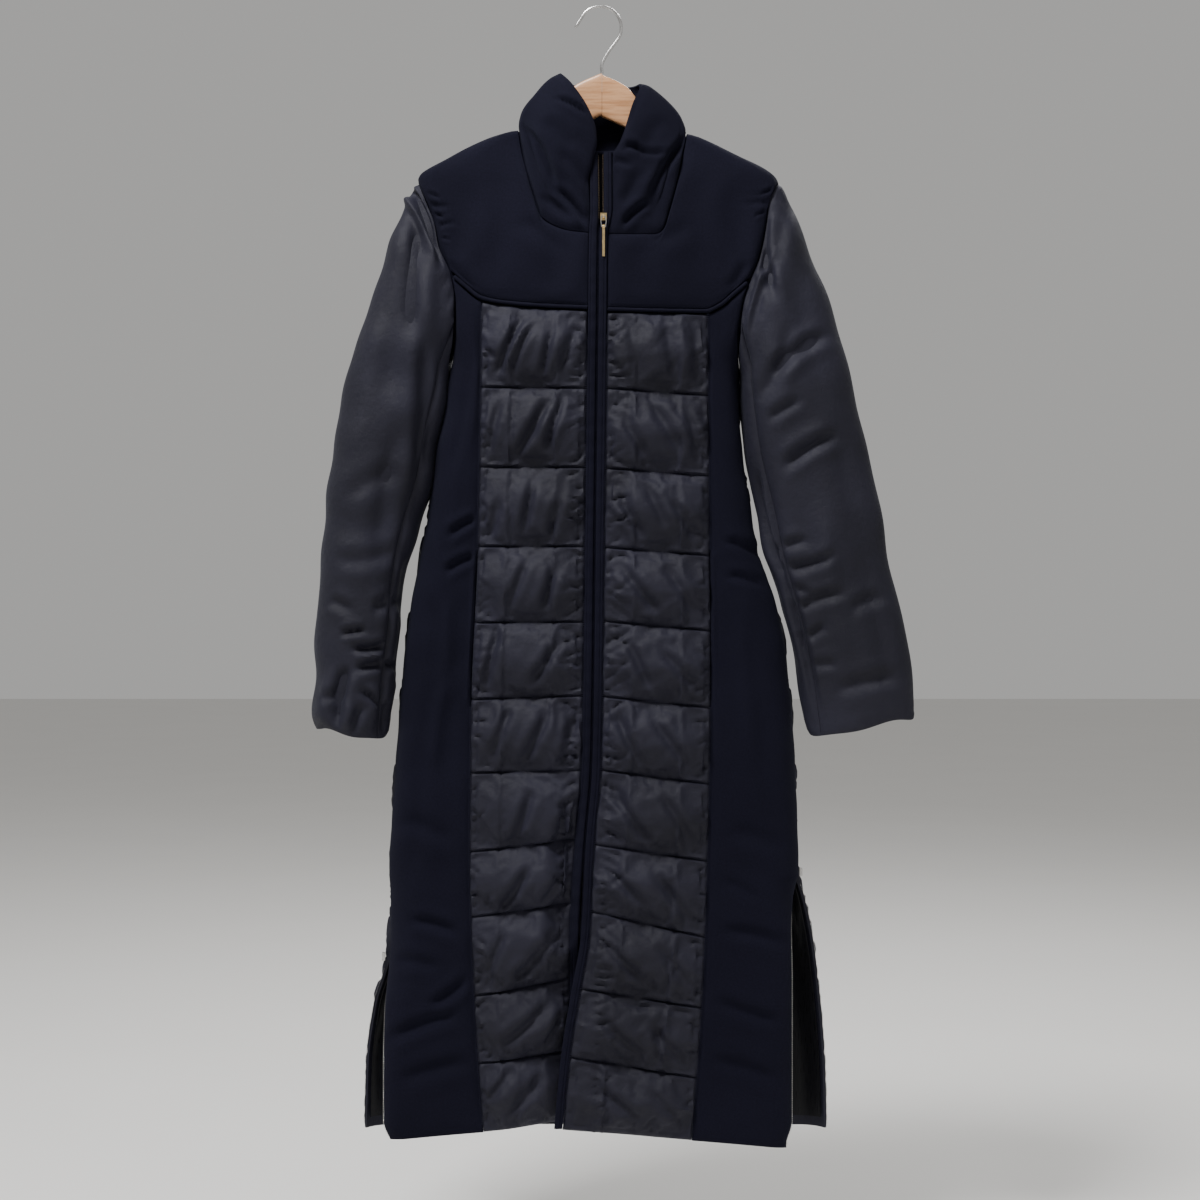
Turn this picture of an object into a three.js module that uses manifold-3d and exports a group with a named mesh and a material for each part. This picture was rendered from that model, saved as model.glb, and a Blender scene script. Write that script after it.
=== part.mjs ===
// Long puffer coat with a stand collar and a zip front, hanging on a wooden hanger.
// Millimetres, +Z up, the front faces -Y. The origin is the inside top of the hook.
// Left and right are the viewer's.
import * as THREE from "three";
import { mergeVertices } from "three/addons/utils/BufferGeometryUtils.js";
import Module from "manifold-3d";

// Driving dimensions
const SEAM = 0.3; // gap between neighbouring pieces
const SHELL = 4.5; // padded nylon wall
const CLOTH = 4; // lined wool-like wall
const COLLAR_WALL = { seam: 4, middle: 8 };
const PUFF = 11; // height of a quilted channel
const CHANNELS = 11;
const STRIP = 9; // placket strip width
const STRIP_WALL = 3;
const TAPE_WALL = 1.2;
const CHAIN_GAP = 2.6; // between the two strips where the zip is closed
const PIPING_R = 2.1;
const CORD_ROOM = 3; // from the cord's middle to the cloth beside it
const NECK_POINT = { left: 92, right: 98, zLeft: -137, zRight: -140 };
const SHOULDER_Z = -196; // shoulder tip
const UNDERARM_Z = -405;
const SLIT = { left: -1070, right: -975 }; // tops of the side slits
const HANGER = { thick: 10, reach: 190, mitreX: 2.2, bevel: 3, drop: 10.5 };
const WIRE_R = 1.75;
const HOOK_R = 23.75;
const PULL = { x: 3.9, z: -241, link: 11, bar: 33, wide: 2.8, thick: 1.4 };

// Body section: half-width of the front and of the back (slit edges below SLIT_Z)
const WIDTH = [
  { z: -110, left: 30, right: 30 },
  { z: -137, left: 92, right: 90 },
  { z: -148, left: 124, right: 113 },
  { z: -170, left: 168, right: 158 },
  { z: -193, left: 204, right: 198 },
  { z: -205, left: 205, right: 205 },
  { z: -232, left: 199, right: 201 },
  { z: -271, left: 194, right: 197 },
  { z: -310, left: 186, right: 190 },
  { z: -360, left: 176, right: 172 },
  { z: -405, left: 168, right: 157 },
  { z: -440, left: 171, right: 156 },
  { z: -495, left: 182, right: 158 },
  { z: -551, left: 190, right: 167 },
  { z: -607, left: 199, right: 175 },
  { z: -663, left: 209, right: 193 },
  { z: -720, left: 217, right: 206 },
  { z: -840, left: 227, right: 217 },
  { z: -972, left: 234, right: 222 },
];
const FRONT_EDGE = [
  { z: -972, left: 234, right: 221 },
  { z: -1000, left: 233, right: 215 },
  { z: -1050, left: 234, right: 213 },
  { z: -1118, left: 240, right: 213 },
  { z: -1240, left: 240, right: 213 },
  { z: -1262, left: 232, right: 207 },
];
const BACK_EDGE = [
  { z: -972, left: 234, right: 223 },
  { z: -1000, left: 234, right: 232 },
  { z: -1050, left: 237, right: 242 },
  { z: -1118, left: 256, right: 250 },
  { z: -1184, left: 265, right: 255 },
  { z: -1262, left: 267, right: 257 },
];
const EDGE_Z = FRONT_EDGE[0].z; // front and back have widths of their own below this
// Side radius and the extra fullness of the front and back at the middle
const DEPTH = [
  { z: -110, radius: 13, front: 2, back: 2 },
  { z: -150, radius: 15, front: 6, back: 3 },
  { z: -195, radius: 22, front: 8, back: 4 },
  { z: -260, radius: 29, front: 10, back: 4 },
  { z: -340, radius: 33, front: 10, back: 4 },
  { z: -700, radius: 35, front: 8, back: 3 },
  { z: -1262, radius: 36, front: 6, back: 2 },
];
// Inner edge of each placket strip, where the teeth meet, and the outer quilt seam
const CLOSURE = [
  { z: -166, left: -2.5, right: 4 },
  { z: -232, left: -1.8, right: 4.2 },
  { z: -260, left: -3.2, right: -0.6 },
  { z: -345, left: -4.2, right: -1.6 },
  { z: -604, left: -7.4, right: -4.8 },
  { z: -768, left: -9.4, right: -6.8 },
  { z: -850, left: -11.4, right: -8.8 },
  { z: -930, left: -18.2, right: -15.6 },
  { z: -1034, left: -24, right: -21.4 },
  { z: -1090, left: -24, right: -31 },
  { z: -1165, left: -27, right: -43 },
  { z: -1262, left: -30, right: -52 },
];
const QUILT_SEAM = [
  { z: -335, left: 131, right: 119 },
  { z: -604, left: 135, right: 121 },
  { z: -770, left: 142, right: 122 },
  { z: -940, left: 144, right: 119 },
  { z: -1100, left: 139, right: 113 },
  { z: -1262, left: 128, right: 101 },
];
// Quilt lines: heights at the zip end and at the outer end
const QUILT_LINES = {
  left: [
    { zip: -344, outer: -337 },
    { zip: -430, outer: -428 },
    { zip: -517, outer: -516 },
    { zip: -604, outer: -604 },
    { zip: -687, outer: -688 },
    { zip: -768, outer: -773 },
    { zip: -850, outer: -854 },
    { zip: -927, outer: -941 },
    { zip: -998, outer: -1013 },
    { zip: -1082, outer: -1100 },
    { zip: -1163, outer: -1174 },
    { zip: -1240, outer: -1250 },
  ],
  right: [
    { zip: -347, outer: -350 },
    { zip: -430, outer: -437 },
    { zip: -518, outer: -526 },
    { zip: -605, outer: -614 },
    { zip: -686, outer: -697 },
    { zip: -769, outer: -782 },
    { zip: -850, outer: -866 },
    { zip: -932, outer: -951 },
    { zip: -1006, outer: -1035 },
    { zip: -1090, outer: -1113 },
    { zip: -1165, outer: -1190 },
    { zip: -1245, outer: -1259 },
  ],
};
// Corded seam under the yoke, from the placket out to the armhole
const YOKE_SEAM = {
  left: [
    { x: 12, z: -341 },
    { x: 55, z: -339 },
    { x: 108, z: -334 },
    { x: 131, z: -329 },
    { x: 150, z: -315 },
    { x: 165, z: -302 },
  ],
  right: [
    { x: 7, z: -343 },
    { x: 70, z: -344 },
    { x: 116, z: -344 },
    { x: 133, z: -337 },
    { x: 145, z: -327 },
    { x: 166, z: -309 },
  ],
};
// Armhole seam from the shoulder tip to the underarm
const ARMHOLE = {
  left: [
    { z: -196, x: 204.5 },
    { z: -226, x: 191 },
    { z: -243, x: 184 },
    { z: -271, x: 178 },
    { z: -302, x: 165 },
    { z: -335, x: 160 },
    { z: -370, x: 160 },
    { z: -393, x: 164 },
    { z: -405, x: 168 },
  ],
  right: [
    { z: -196, x: 201 },
    { z: -221, x: 188 },
    { z: -248, x: 184 },
    { z: -284, x: 176 },
    { z: -309, x: 166 },
    { z: -340, x: 157 },
    { z: -370, x: 153 },
    { z: -393, x: 155 },
    { z: -405, x: 157 },
  ],
};
// Neck seam: half-width at each height, from the placket to the neck point
const NECK_SEAM = {
  left: [
    { x: 12, z: -258 },
    { x: 40, z: -254 },
    { x: 62, z: -243 },
    { x: 70, z: -228 },
    { x: 86, z: -172 },
    { x: 92, z: -137 },
  ],
  right: [
    { x: 13, z: -259 },
    { x: 45, z: -259 },
    { x: 68, z: -256 },
    { x: 78, z: -231 },
    { x: 89, z: -188 },
    { x: 98, z: -140 },
  ],
};
// Collar's top edge from the zip over the side peak to the middle of the back
const COLLAR_TOP = {
  left: [
    { x: 11, y: -25, z: -166 },
    { x: 22, y: -27, z: -128 },
    { x: 36, y: -20, z: -90 },
    { x: 45, y: -4, z: -73 },
    { x: 36, y: 16, z: -80 },
    { x: 0, y: 26, z: -88 },
  ],
  right: [
    { x: 13, y: -25, z: -167 },
    { x: 24, y: -27, z: -150 },
    { x: 36, y: -20, z: -112 },
    { x: 46, y: -4, z: -86 },
    { x: 36, y: 16, z: -84 },
    { x: 0, y: 26, z: -88 },
  ],
};
// Sleeves: outer and inner edge in the front view, half-depth, and middle depth
const SLEEVE = {
  left: [
    { xo: 224, zo: -240, xi: 176, zi: -424, half: 46, y: 0 },
    { xo: 244, zo: -300, xi: 182, zi: -448, half: 49, y: 0 },
    { xo: 266, zo: -366, xi: 190, zi: -490, half: 49, y: -1 },
    { xo: 288, zo: -438, xi: 200, zi: -540, half: 47, y: -2 },
    { xo: 300, zo: -520, xi: 212, zi: -592, half: 45, y: -4 },
    { xo: 308, zo: -600, xi: 218, zi: -640, half: 43, y: -6 },
    { xo: 314, zo: -680, xi: 223, zi: -698, half: 41, y: -8 },
    { xo: 318, zo: -745, xi: 230, zi: -756, half: 40, y: -10 },
    { xo: 318, zo: -800, xi: 235, zi: -812, half: 38, y: -12 },
  ],
  right: [
    { xo: 222, zo: -240, xi: 166, zi: -424, half: 45, y: 0 },
    { xo: 240, zo: -292, xi: 166, zi: -446, half: 46, y: 0 },
    { xo: 262, zo: -356, xi: 167, zi: -480, half: 45, y: -1 },
    { xo: 282, zo: -430, xi: 171, zi: -516, half: 42, y: -2 },
    { xo: 300, zo: -512, xi: 178, zi: -568, half: 38, y: -3 },
    { xo: 316, zo: -590, xi: 190, zi: -624, half: 34, y: -5 },
    { xo: 331, zo: -665, xi: 209, zi: -688, half: 29, y: -6 },
    { xo: 344, zo: -730, xi: 222, zi: -752, half: 25, y: -7 },
    { xo: 352, zo: -790, xi: 231, zi: -811, half: 21, y: -8 },
  ],
};
const CUFF_DROP = 6; // the cuff's front dips this much below its back

const QUILT_ROWS = 3; // rows of points in a channel
const YOKE_COLUMNS = 12;
const YOKE_ROWS = 8;
const NECK_COLUMNS = 7; // the yoke and the collar share these points of the neck seam
const SIDE_ROWS = 22;
const HOLE_ROWS = 5; // rows of the side panel beside the armhole
const HEM_ROUND = 10; // the side panel's hem dips this much at the side
// Fractions of the back's width at which its columns stand, closer round the sides
const BACK_COLUMNS = [0, 0.28, 0.54, 0.76, 0.85, 0.93, 1];
const BACK_CHANNELS = 10;
const BACK_HEM = -1258;
const BACK_NECK_Z = -160;
const LINING = { top: -900, bottom: -1246, wall: 1.2, edge: 0.985 };
const LINING_ROWS = 10;
const TOP_Z = -167; // top of the placket strips
const STRIP_LIFT = 0.8;
const STRIP_HEM = { left: -1238, right: -1243 };
const STRIP_ROWS = 36;
const TAPE_ROWS = 29; // the zip ends at this row
const COLLAR_COLUMNS = 11; // from the zip to the middle of the back
const COLLAR_CREASE = { at: 0.18, wide: 0.08, deep: 5 }; // fold over the neck seam
const COLLAR_FULL = 9; // how far the collar swells between its edges
// Sleeve seams, in degrees round the sleeve from its outside
const SLEEVE_SEAM = { front: 140, back: 235, gap: 0.25 };
const SLEEVE_COLUMNS = { top: 13, under: 7 };
const SLEEVE_HEART = { x: 185, z: -300 }; // the armhole's edge is drawn in towards this place
// Hanger arm: top edge inside the collar, and underside
const ARM_TOP = [
  { x: 0, z: -74 },
  { x: 29, z: -88 },
  { x: 45, z: -107 },
  { x: 60, z: -124 },
  { x: 80, z: -152 },
];
const ARM_UNDER = [
  { x: 0, z: -121 },
  { x: 28, z: -134 },
  { x: 60, z: -153 },
  { x: 95, z: -176 },
  { x: 150, z: -203 },
  { x: 192, z: -222 },
];
// Zip slider's bail, the bar's eye and the link
const BAIL = { outer: 2.4, eye: 1.2, wide: 1.6, behind: 1.9 };
const EYE = { outer: 1.9, hole: 1.15 };
const LINK = { thick: 1.2, end: 2.6, middle: 3.4, rim: 0.9 };

const coat = new THREE.Group();
const SIDES = { left: -1, right: 1 };
const lerp = THREE.MathUtils.lerp;
const clamp = THREE.MathUtils.clamp;
const smooth = (x, from, to) => THREE.MathUtils.smoothstep(x, Math.min(from, to), Math.max(from, to));
const falling = (z, from, to) => 1 - smooth(z, to, from);

// Slope of a smooth curve at a row between two straight stretches, without overshoot
const easedSlope = (a, b) => (a * b <= 0 ? 0 : (2 * a * b) / (a + b));

// Reads a column from rows that step in one direction, with rounded corners between rows
function lookup(rows, key, value, column) {
  const down = rows[0][key] > rows[rows.length - 1][key];
  const sign = down ? -1 : 1;
  let i = 0;
  while (i < rows.length - 2 && sign * value > sign * rows[i + 1][key]) i += 1;
  const slope = (a, b) => (b[column] - a[column]) / (b[key] - a[key] || 1);
  const [a, b] = [rows[i], rows[i + 1]];
  const here = slope(a, b);
  const before = i > 0 ? easedSlope(slope(rows[i - 1], a), here) : here;
  const after = i < rows.length - 2 ? easedSlope(here, slope(b, rows[i + 2])) : here;
  const span = b[key] - a[key];
  const t = clamp((value - a[key]) / span, 0, 1);
  const [t2, t3] = [t * t, t * t * t];
  return (
    (2 * t3 - 3 * t2 + 1) * a[column] +
    (t3 - 2 * t2 + t) * span * before +
    (3 * t2 - 2 * t3) * b[column] +
    (t3 - t2) * span * after
  );
}

// Point at a fraction of a polyline's length; rows hold any numeric columns
function along(rows, columns, fraction) {
  const step = (a, b) => Math.hypot(...columns.map((c) => b[c] - a[c]));
  const lengths = rows.slice(1).map((row, i) => step(rows[i], row));
  let left = clamp(fraction, 0, 1) * lengths.reduce((a, b) => a + b, 0);
  let i = 0;
  while (i < lengths.length - 1 && left > lengths[i]) {
    left -= lengths[i];
    i += 1;
  }
  const t = clamp(left / lengths[i], 0, 1);
  return columns.map((c) => lerp(rows[i][c], rows[i + 1][c], t));
}

// Half-width of the front (face -1) or back (face 1), and how far round the side it reaches
function sectionAt(side, face, z) {
  const depth = (column) => lookup(DEPTH, "z", z, column);
  const radius = depth("radius");
  const edge = face < 0 ? FRONT_EDGE : BACK_EDGE;
  const width = z > EDGE_Z ? lookup(WIDTH, "z", z, side) : lookup(edge, "z", z, side);
  const open = falling(z, SLIT[side] + 30, SLIT[side] - 110);
  const turn = (Math.PI / 2) * (1 - open * (face < 0 ? 0.6 : 0.35));
  const flat = width - radius * Math.sin(turn);
  return { radius, flat, turn, reach: flat + radius * turn, crown: depth(face < 0 ? "front" : "back") };
}

// The front closure: below the zip the viewer's right front comes forward and the left dips back
function closureShift(side, x, z) {
  const edge = lookup(CLOSURE, "z", z, side);
  const away = SIDES[side] * x - SIDES[side] * edge;
  if (side === "right") return -7 * falling(z, -1020, -1110) * (1 - smooth(away, 0, 90));
  const hollow = 13 * falling(z, -850, -930) * smooth(away, 0, 17) * (1 - smooth(away, 20, 46));
  const lapped = 15 * falling(z, -1030, -1075) * (1 - smooth(away, 8, 80));
  return Math.max(hollow * (1 - falling(z, -1034, -1075)), lapped);
}

// Base surface of the body: fraction s of the way round from the middle (0) to the side (1)
function bodyPoint(side, face, s, z) {
  const { radius, flat, reach, crown } = sectionAt(side, face, z);
  const arc = s * reach;
  const bulge = crown * (0.5 + 0.5 * Math.cos(Math.PI * clamp(arc / flat, 0, 1)));
  const angle = Math.max(0, arc - flat) / radius;
  const x = SIDES[side] * (Math.min(arc, flat) + radius * Math.sin(angle));
  const y = face * (radius * Math.cos(angle) + bulge);
  return new THREE.Vector3(x, face < 0 ? y + closureShift(side, x, z) : y, z);
}

// Outward normal of the body there
function bodyNormal(side, face, s, z) {
  const e = 0.004;
  const across = bodyPoint(side, face, s + e, z).sub(bodyPoint(side, face, s - e, z));
  const down = bodyPoint(side, face, s, z - 2).sub(bodyPoint(side, face, s, z + 2));
  const normal = across.cross(down).normalize();
  return normal.multiplyScalar(SIDES[side] * face);
}

// Fraction round the section at which the front view shows the signed outward distance x
function fractionAt(side, face, x, z) {
  const { radius, flat, reach, turn } = sectionAt(side, face, z);
  if (x <= flat) return x / reach;
  return Math.min(1, (flat + radius * Math.min(turn, Math.asin(Math.min(1, (x - flat) / radius)))) / reach);
}

// Closed wall between an outer and an inner grid of points
function wall(name, columns, rows, pointAt, material) {
  const points = [];
  for (const layer of [0, 1]) {
    for (let j = 0; j <= rows; j += 1) {
      for (let i = 0; i <= columns; i += 1) points.push(pointAt(i / columns, j / rows, layer));
    }
  }
  const index = [];
  const at = (i, j, layer) => layer * (columns + 1) * (rows + 1) + j * (columns + 1) + i;
  const quad = (a, b, c, d) => index.push(a, b, c, a, c, d);
  for (let j = 0; j < rows; j += 1) {
    for (let i = 0; i < columns; i += 1) {
      quad(at(i, j, 0), at(i + 1, j, 0), at(i + 1, j + 1, 0), at(i, j + 1, 0));
      quad(at(i, j, 1), at(i, j + 1, 1), at(i + 1, j + 1, 1), at(i + 1, j, 1));
    }
  }
  for (let i = 0; i < columns; i += 1) {
    quad(at(i, 0, 0), at(i, 0, 1), at(i + 1, 0, 1), at(i + 1, 0, 0));
    quad(at(i, rows, 0), at(i + 1, rows, 0), at(i + 1, rows, 1), at(i, rows, 1));
  }
  for (let j = 0; j < rows; j += 1) {
    quad(at(0, j, 0), at(0, j + 1, 0), at(0, j + 1, 1), at(0, j, 1));
    quad(at(columns, j, 0), at(columns, j, 1), at(columns, j + 1, 1), at(columns, j + 1, 0));
  }
  addMesh(name, points, index, material);
}

// Adds a mesh, with its faces turned outward
function addMesh(name, points, index, material) {
  let volume = 0;
  for (let k = 0; k < index.length; k += 3) {
    const [a, b, c] = [points[index[k]], points[index[k + 1]], points[index[k + 2]]];
    volume += a.dot(b.clone().cross(c));
  }
  if (volume < 0) index.reverse();
  const geometry = new THREE.BufferGeometry().setFromPoints(points);
  geometry.setIndex(index);
  geometry.computeVertexNormals();
  const mesh = new THREE.Mesh(geometry, material());
  mesh.name = name;
  coat.add(mesh);
}

const finish = (color, roughness, metalness) => () =>
  new THREE.MeshStandardMaterial({ color, roughness, metalness });
const nylon = finish(0x2c2e36, 0.5, 0);
const wool = finish(0x14161f, 0.9, 0);
const satin = finish(0x0b0b0e, 0.3, 0);
const brass = finish(0xb08d4c, 0.3, 1);
const steel = finish(0xb9bcc0, 0.3, 1);
const wood = finish(0xd9b98a, 0.5, 0);

// Wall of a panel given by its place (s, z) on the body; raise lifts only the outer points
function panel(name, side, face, columns, rows, place, thickness, material, raise = () => 0) {
  wall(
    name,
    columns,
    rows,
    (u, v, layer) => {
      const [s, z] = place(u, v);
      const point = bodyPoint(side, face, s, z);
      const out = layer ? -thickness : raise(u, v);
      return point.addScaledVector(bodyNormal(side, face, s, z), out);
    },
    material,
  );
}

// Four-sided patch between edge curves, each a function of its fraction. Straight lines run from
// bottom to top, and the side edges pull them over near the sides only.
function patch(bottom, top, left, right) {
  const mix = (a, b, t) => a.map((value, k) => lerp(value, b[k], t));
  return (u, v) => {
    const line = mix(bottom(u), top(u), v);
    const leftLine = mix(bottom(0), top(0), v);
    const rightLine = mix(bottom(1), top(1), v);
    const [pullLeft, pullRight] = [(1 - u) ** 3, u ** 3];
    const [l, r] = [left(v), right(v)];
    const pulled = (k) => pullLeft * (l[k] - leftLine[k]) + pullRight * (r[k] - rightLine[k]);
    return line.map((value, k) => value + pulled(k));
  };
}

const armholeAt = (side, z) => lookup(ARMHOLE[side], "z", z, "x");
const onFront = (side, x, z) => [fractionAt(side, -1, x, z), z];
const stripEdge = (side, z) => SIDES[side] * lookup(CLOSURE, "z", z, side) + STRIP + 2 * SEAM;

// Height of the corded seam at x, moved square to the seam by shift
function cordZ(side, x, shift = 0) {
  const seam = YOKE_SEAM[side];
  const z = lookup(seam, "x", x, "z");
  const slope = (lookup(seam, "x", x + 1, "z") - lookup(seam, "x", x - 1, "z")) / 2;
  return z + shift * Math.hypot(1, slope);
}

// Front yoke: placket, neck seam, shoulder, armhole and corded seam
function yoke(side) {
  const seam = YOKE_SEAM[side];
  const neck = NECK_SEAM[side];
  const end = seam[seam.length - 1];
  const cord = CORD_ROOM;
  const bottom = (u) => {
    const z = cordZ(side, lerp(seam[0].x, end.x, u), cord);
    const x = u === 0 ? stripEdge(side, z) : lerp(seam[0].x, end.x, u);
    return onFront(side, Math.min(x, armholeAt(side, z) - SEAM), z);
  };
  const neckShare = NECK_COLUMNS / YOKE_COLUMNS;
  const top = (u) => {
    if (u < neckShare) {
      const [x, z] = along(neck, ["x", "z"], u / neckShare);
      const inside = u === 0 ? stripEdge(side, z) : x;
      return onFront(side, inside, z - SEAM / 2);
    }
    const z = lerp(neck[neck.length - 1].z, SHOULDER_Z, (u - neckShare) / (1 - neckShare));
    return [1 - SEAM / 2 / sectionAt(side, -1, z).reach, z - SEAM / 2];
  };
  const left = (v) => {
    const z = lerp(cordZ(side, seam[0].x, cord), neck[0].z - SEAM / 2, v);
    return onFront(side, stripEdge(side, z), z);
  };
  const right = (v) => {
    const z = lerp(cordZ(side, end.x, cord), SHOULDER_Z - SEAM / 2, v);
    const [s] = onFront(side, armholeAt(side, z) - SEAM, z);
    return [v === 1 ? top(1)[0] : s, z];
  };
  const place = patch(bottom, top, left, right);
  panel(`yoke_${side}`, side, -1, YOKE_COLUMNS, YOKE_ROWS, place, CLOTH, wool);
}

// Quilted front: 11 channels, each raised between its two stitched lines
function quiltRaise(u, t) {
  const ends = Math.min(1, Math.sqrt(Math.sin(Math.PI * u)) * 1.15);
  return PUFF * ends * Math.pow(Math.max(0, Math.sin(Math.PI * t)), 0.55);
}

function quilt(side) {
  const lines = QUILT_LINES[side];
  const rows = CHANNELS * QUILT_ROWS;
  const spread = (u) => u - 0.09 * Math.sin(2 * Math.PI * u);
  const place = (u, v) => {
    const k = Math.min(CHANNELS - 1, Math.floor(v * CHANNELS + 1e-6));
    const t = v * CHANNELS - k;
    const w = spread(u);
    const seamX = lerp(YOKE_SEAM[side][0].x, QUILT_SEAM[0][side], w);
    const seamZ = cordZ(side, seamX, -CORD_ROOM);
    const heightAt = (i) => (i === 0 ? seamZ : lerp(lines[i].zip, lines[i].outer, w));
    const z = lerp(heightAt(k), heightAt(k + 1), t);
    const x = lerp(stripEdge(side, z), lookup(QUILT_SEAM, "z", z, side) - SEAM / 2, w);
    return onFront(side, x, z);
  };
  const raise = (u, v) => quiltRaise(spread(u), (v * CHANNELS) % 1);
  panel(`quilt_${side}`, side, -1, 6, rows, place, SHELL, nylon, raise);
}

// Side front panel: quilt seam, corded seam, armhole and side seam, down to the hem
function sidePanel(side) {
  const cord = CORD_ROOM;
  const seam = YOKE_SEAM[side];
  const seamX = (z) => lookup(QUILT_SEAM, "z", z, side) + SEAM / 2;
  const start = seamX(QUILT_SEAM[0].z);
  const outerLine = QUILT_LINES[side][CHANNELS];
  const hem = outerLine.outer;
  const corner = hem - HEM_ROUND;
  const topZ = (x) => cordZ(side, x, -cord - 3 * SEAM);
  const end = seam[seam.length - 1];
  const edgeX = (z) => armholeAt(side, z) - SEAM;
  const top = (u) => {
    const x = lerp(start, edgeX(topZ(end.x)), u);
    return onFront(side, x, topZ(x));
  };
  const bottom = (u) => {
    const z = lerp(hem, corner, u);
    return [lerp(onFront(side, seamX(z), z)[0], 1, u), z];
  };
  const quiltEdge = (v) => {
    const z = lerp(topZ(start), hem, v);
    return onFront(side, seamX(z), z);
  };
  const holeShare = HOLE_ROWS / SIDE_ROWS;
  const sideEdge = (v) => {
    if (v < holeShare) {
      const z = lerp(topZ(end.x), UNDERARM_Z - SEAM, v / holeShare);
      return onFront(side, edgeX(z), z);
    }
    const z = lerp(UNDERARM_Z - SEAM, corner, (v - holeShare) / (1 - holeShare));
    return [1 - SEAM / 2 / sectionAt(side, -1, z).reach, z];
  };
  const exactBottom = (u) => {
    const [s, z] = bottom(u);
    return u === 0 ? quiltEdge(1) : u === 1 ? sideEdge(1) : [s, z];
  };
  const place = patch(top, exactBottom, quiltEdge, sideEdge);
  panel(`side_panel_${side}`, side, -1, 6, SIDE_ROWS, place, CLOTH, wool);
}

function backFraction(u) {
  const half = BACK_COLUMNS.length - 1;
  const k = Math.abs(2 * u - 1) * half;
  const i = Math.min(half - 1, Math.floor(k + 1e-6));
  return Math.sign(2 * u - 1) * lerp(BACK_COLUMNS[i], BACK_COLUMNS[i + 1], k - i);
}

const sideOf = (s) => (s < 0 ? "left" : "right");

// Wall on the back between two depths, at signed fractions of its half-width
function backWall(name, rows, place, outer, inner, material) {
  const pointAt = (u, v, layer) => {
    const [s, z] = place(u, v);
    const side = sideOf(s);
    const point = bodyPoint(side, 1, Math.abs(s), z);
    return point.addScaledVector(bodyNormal(side, 1, Math.abs(s), z), layer ? inner : outer(u, v));
  };
  wall(name, 2 * (BACK_COLUMNS.length - 1), rows, pointAt, material);
}

// Height of the back's neck seam at a distance from the middle
function backNeckZ(side, x) {
  const top = side === "left" ? NECK_POINT.zLeft : NECK_POINT.zRight;
  return lerp(BACK_NECK_Z, top, Math.pow(clamp(x / NECK_POINT[side], 0, 1), 2.4));
}

// Back: quilted from the hem to the underarms, plain above them
function back() {
  const quiltRows = BACK_CHANNELS * QUILT_ROWS;
  const rows = quiltRows + YOKE_ROWS;
  const share = quiltRows / rows;
  const neckPlace = NECK_POINT.left / 204;
  const inset = (side, z) => 1 - SEAM / 2 / sectionAt(side, 1, z).reach;
  const place = (u, v) => {
    const q = backFraction(u);
    const side = sideOf(q);
    const a = Math.abs(q);
    if (v <= share) {
      const z = lerp(BACK_HEM, UNDERARM_Z - SEAM, v / share);
      return [q * inset(side, z), z];
    }
    const w = (v - share) / (1 - share);
    const hole = lerp(UNDERARM_Z - SEAM, SHOULDER_Z - SEAM / 2, w);
    const holeX = armholeAt(side, hole) - SEAM;
    const holeS = w === 1 ? inset(side, hole) : fractionAt(side, 1, holeX, hole);
    const neckX = (a / neckPlace) * NECK_POINT[side];
    const ridgeT = (a - neckPlace) / (1 - neckPlace);
    const neckZ = side === "left" ? NECK_POINT.zLeft : NECK_POINT.zRight;
    const topZ = a < neckPlace ? backNeckZ(side, neckX) : lerp(neckZ, SHOULDER_Z, ridgeT);
    const topS = a < neckPlace ? fractionAt(side, 1, neckX, topZ) : inset(side, topZ);
    const rowS = a * inset(side, UNDERARM_Z);
    const z = lerp(UNDERARM_Z - SEAM, topZ - SEAM / 2, w);
    const edge = lerp(inset(side, UNDERARM_Z), inset(side, SHOULDER_Z), w);
    const s = lerp(rowS, topS, w) + a * (holeS - edge);
    return [Math.sign(q) * Math.min(s, inset(side, z)), z];
  };
  const raise = (u, v) => {
    const t = ((v / share) * BACK_CHANNELS) % 1;
    return v >= share ? 0 : quiltRaise(u, t);
  };
  backWall("back", rows, place, raise, -SHELL, nylon);
}

// Lining inside the lower back, where the side slits show it
function backLining() {
  const place = (u, v) => {
    const q = backFraction(u);
    return [clamp(q, -LINING.edge, LINING.edge), lerp(LINING.bottom, LINING.top, v)];
  };
  const depth = -(SHELL + 7 * SEAM);
  backWall("back_lining", LINING_ROWS, place, () => depth, depth - LINING.wall, satin);
}

// Placket strip, and the zip tape under it with the raised edge of its teeth
const stripAt = (side, offset, z) => onFront(side, SIDES[side] * lookup(CLOSURE, "z", z, side) + offset, z);
const stripZ = (side, row) => lerp(TOP_Z, STRIP_HEM[side], row / STRIP_ROWS);

function placket(side) {
  const place = (u, v) => stripAt(side, u * STRIP, stripZ(side, v * STRIP_ROWS));
  const deep = STRIP_WALL - STRIP_LIFT;
  panel(`placket_${side}`, side, -1, 2, STRIP_ROWS, place, deep, wool, () => STRIP_LIFT);
}

function zipTape(side) {
  const teeth = (CHAIN_GAP - SEAM) / 2;
  const offsets = [-teeth, -0.35, -0.3, 7];
  const low = -(STRIP_WALL - STRIP_LIFT + 2 * SEAM);
  const heights = [0, 0, low, low];
  const column = (u) => Math.round(u * 3);
  const place = (u, v) => stripAt(side, offsets[column(u)], stripZ(side, v * TAPE_ROWS));
  const raise = (u) => heights[column(u)];
  panel(`zip_tape_${side}`, side, -1, 3, TAPE_ROWS, place, TAPE_WALL - low, wool, raise);
}

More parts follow.
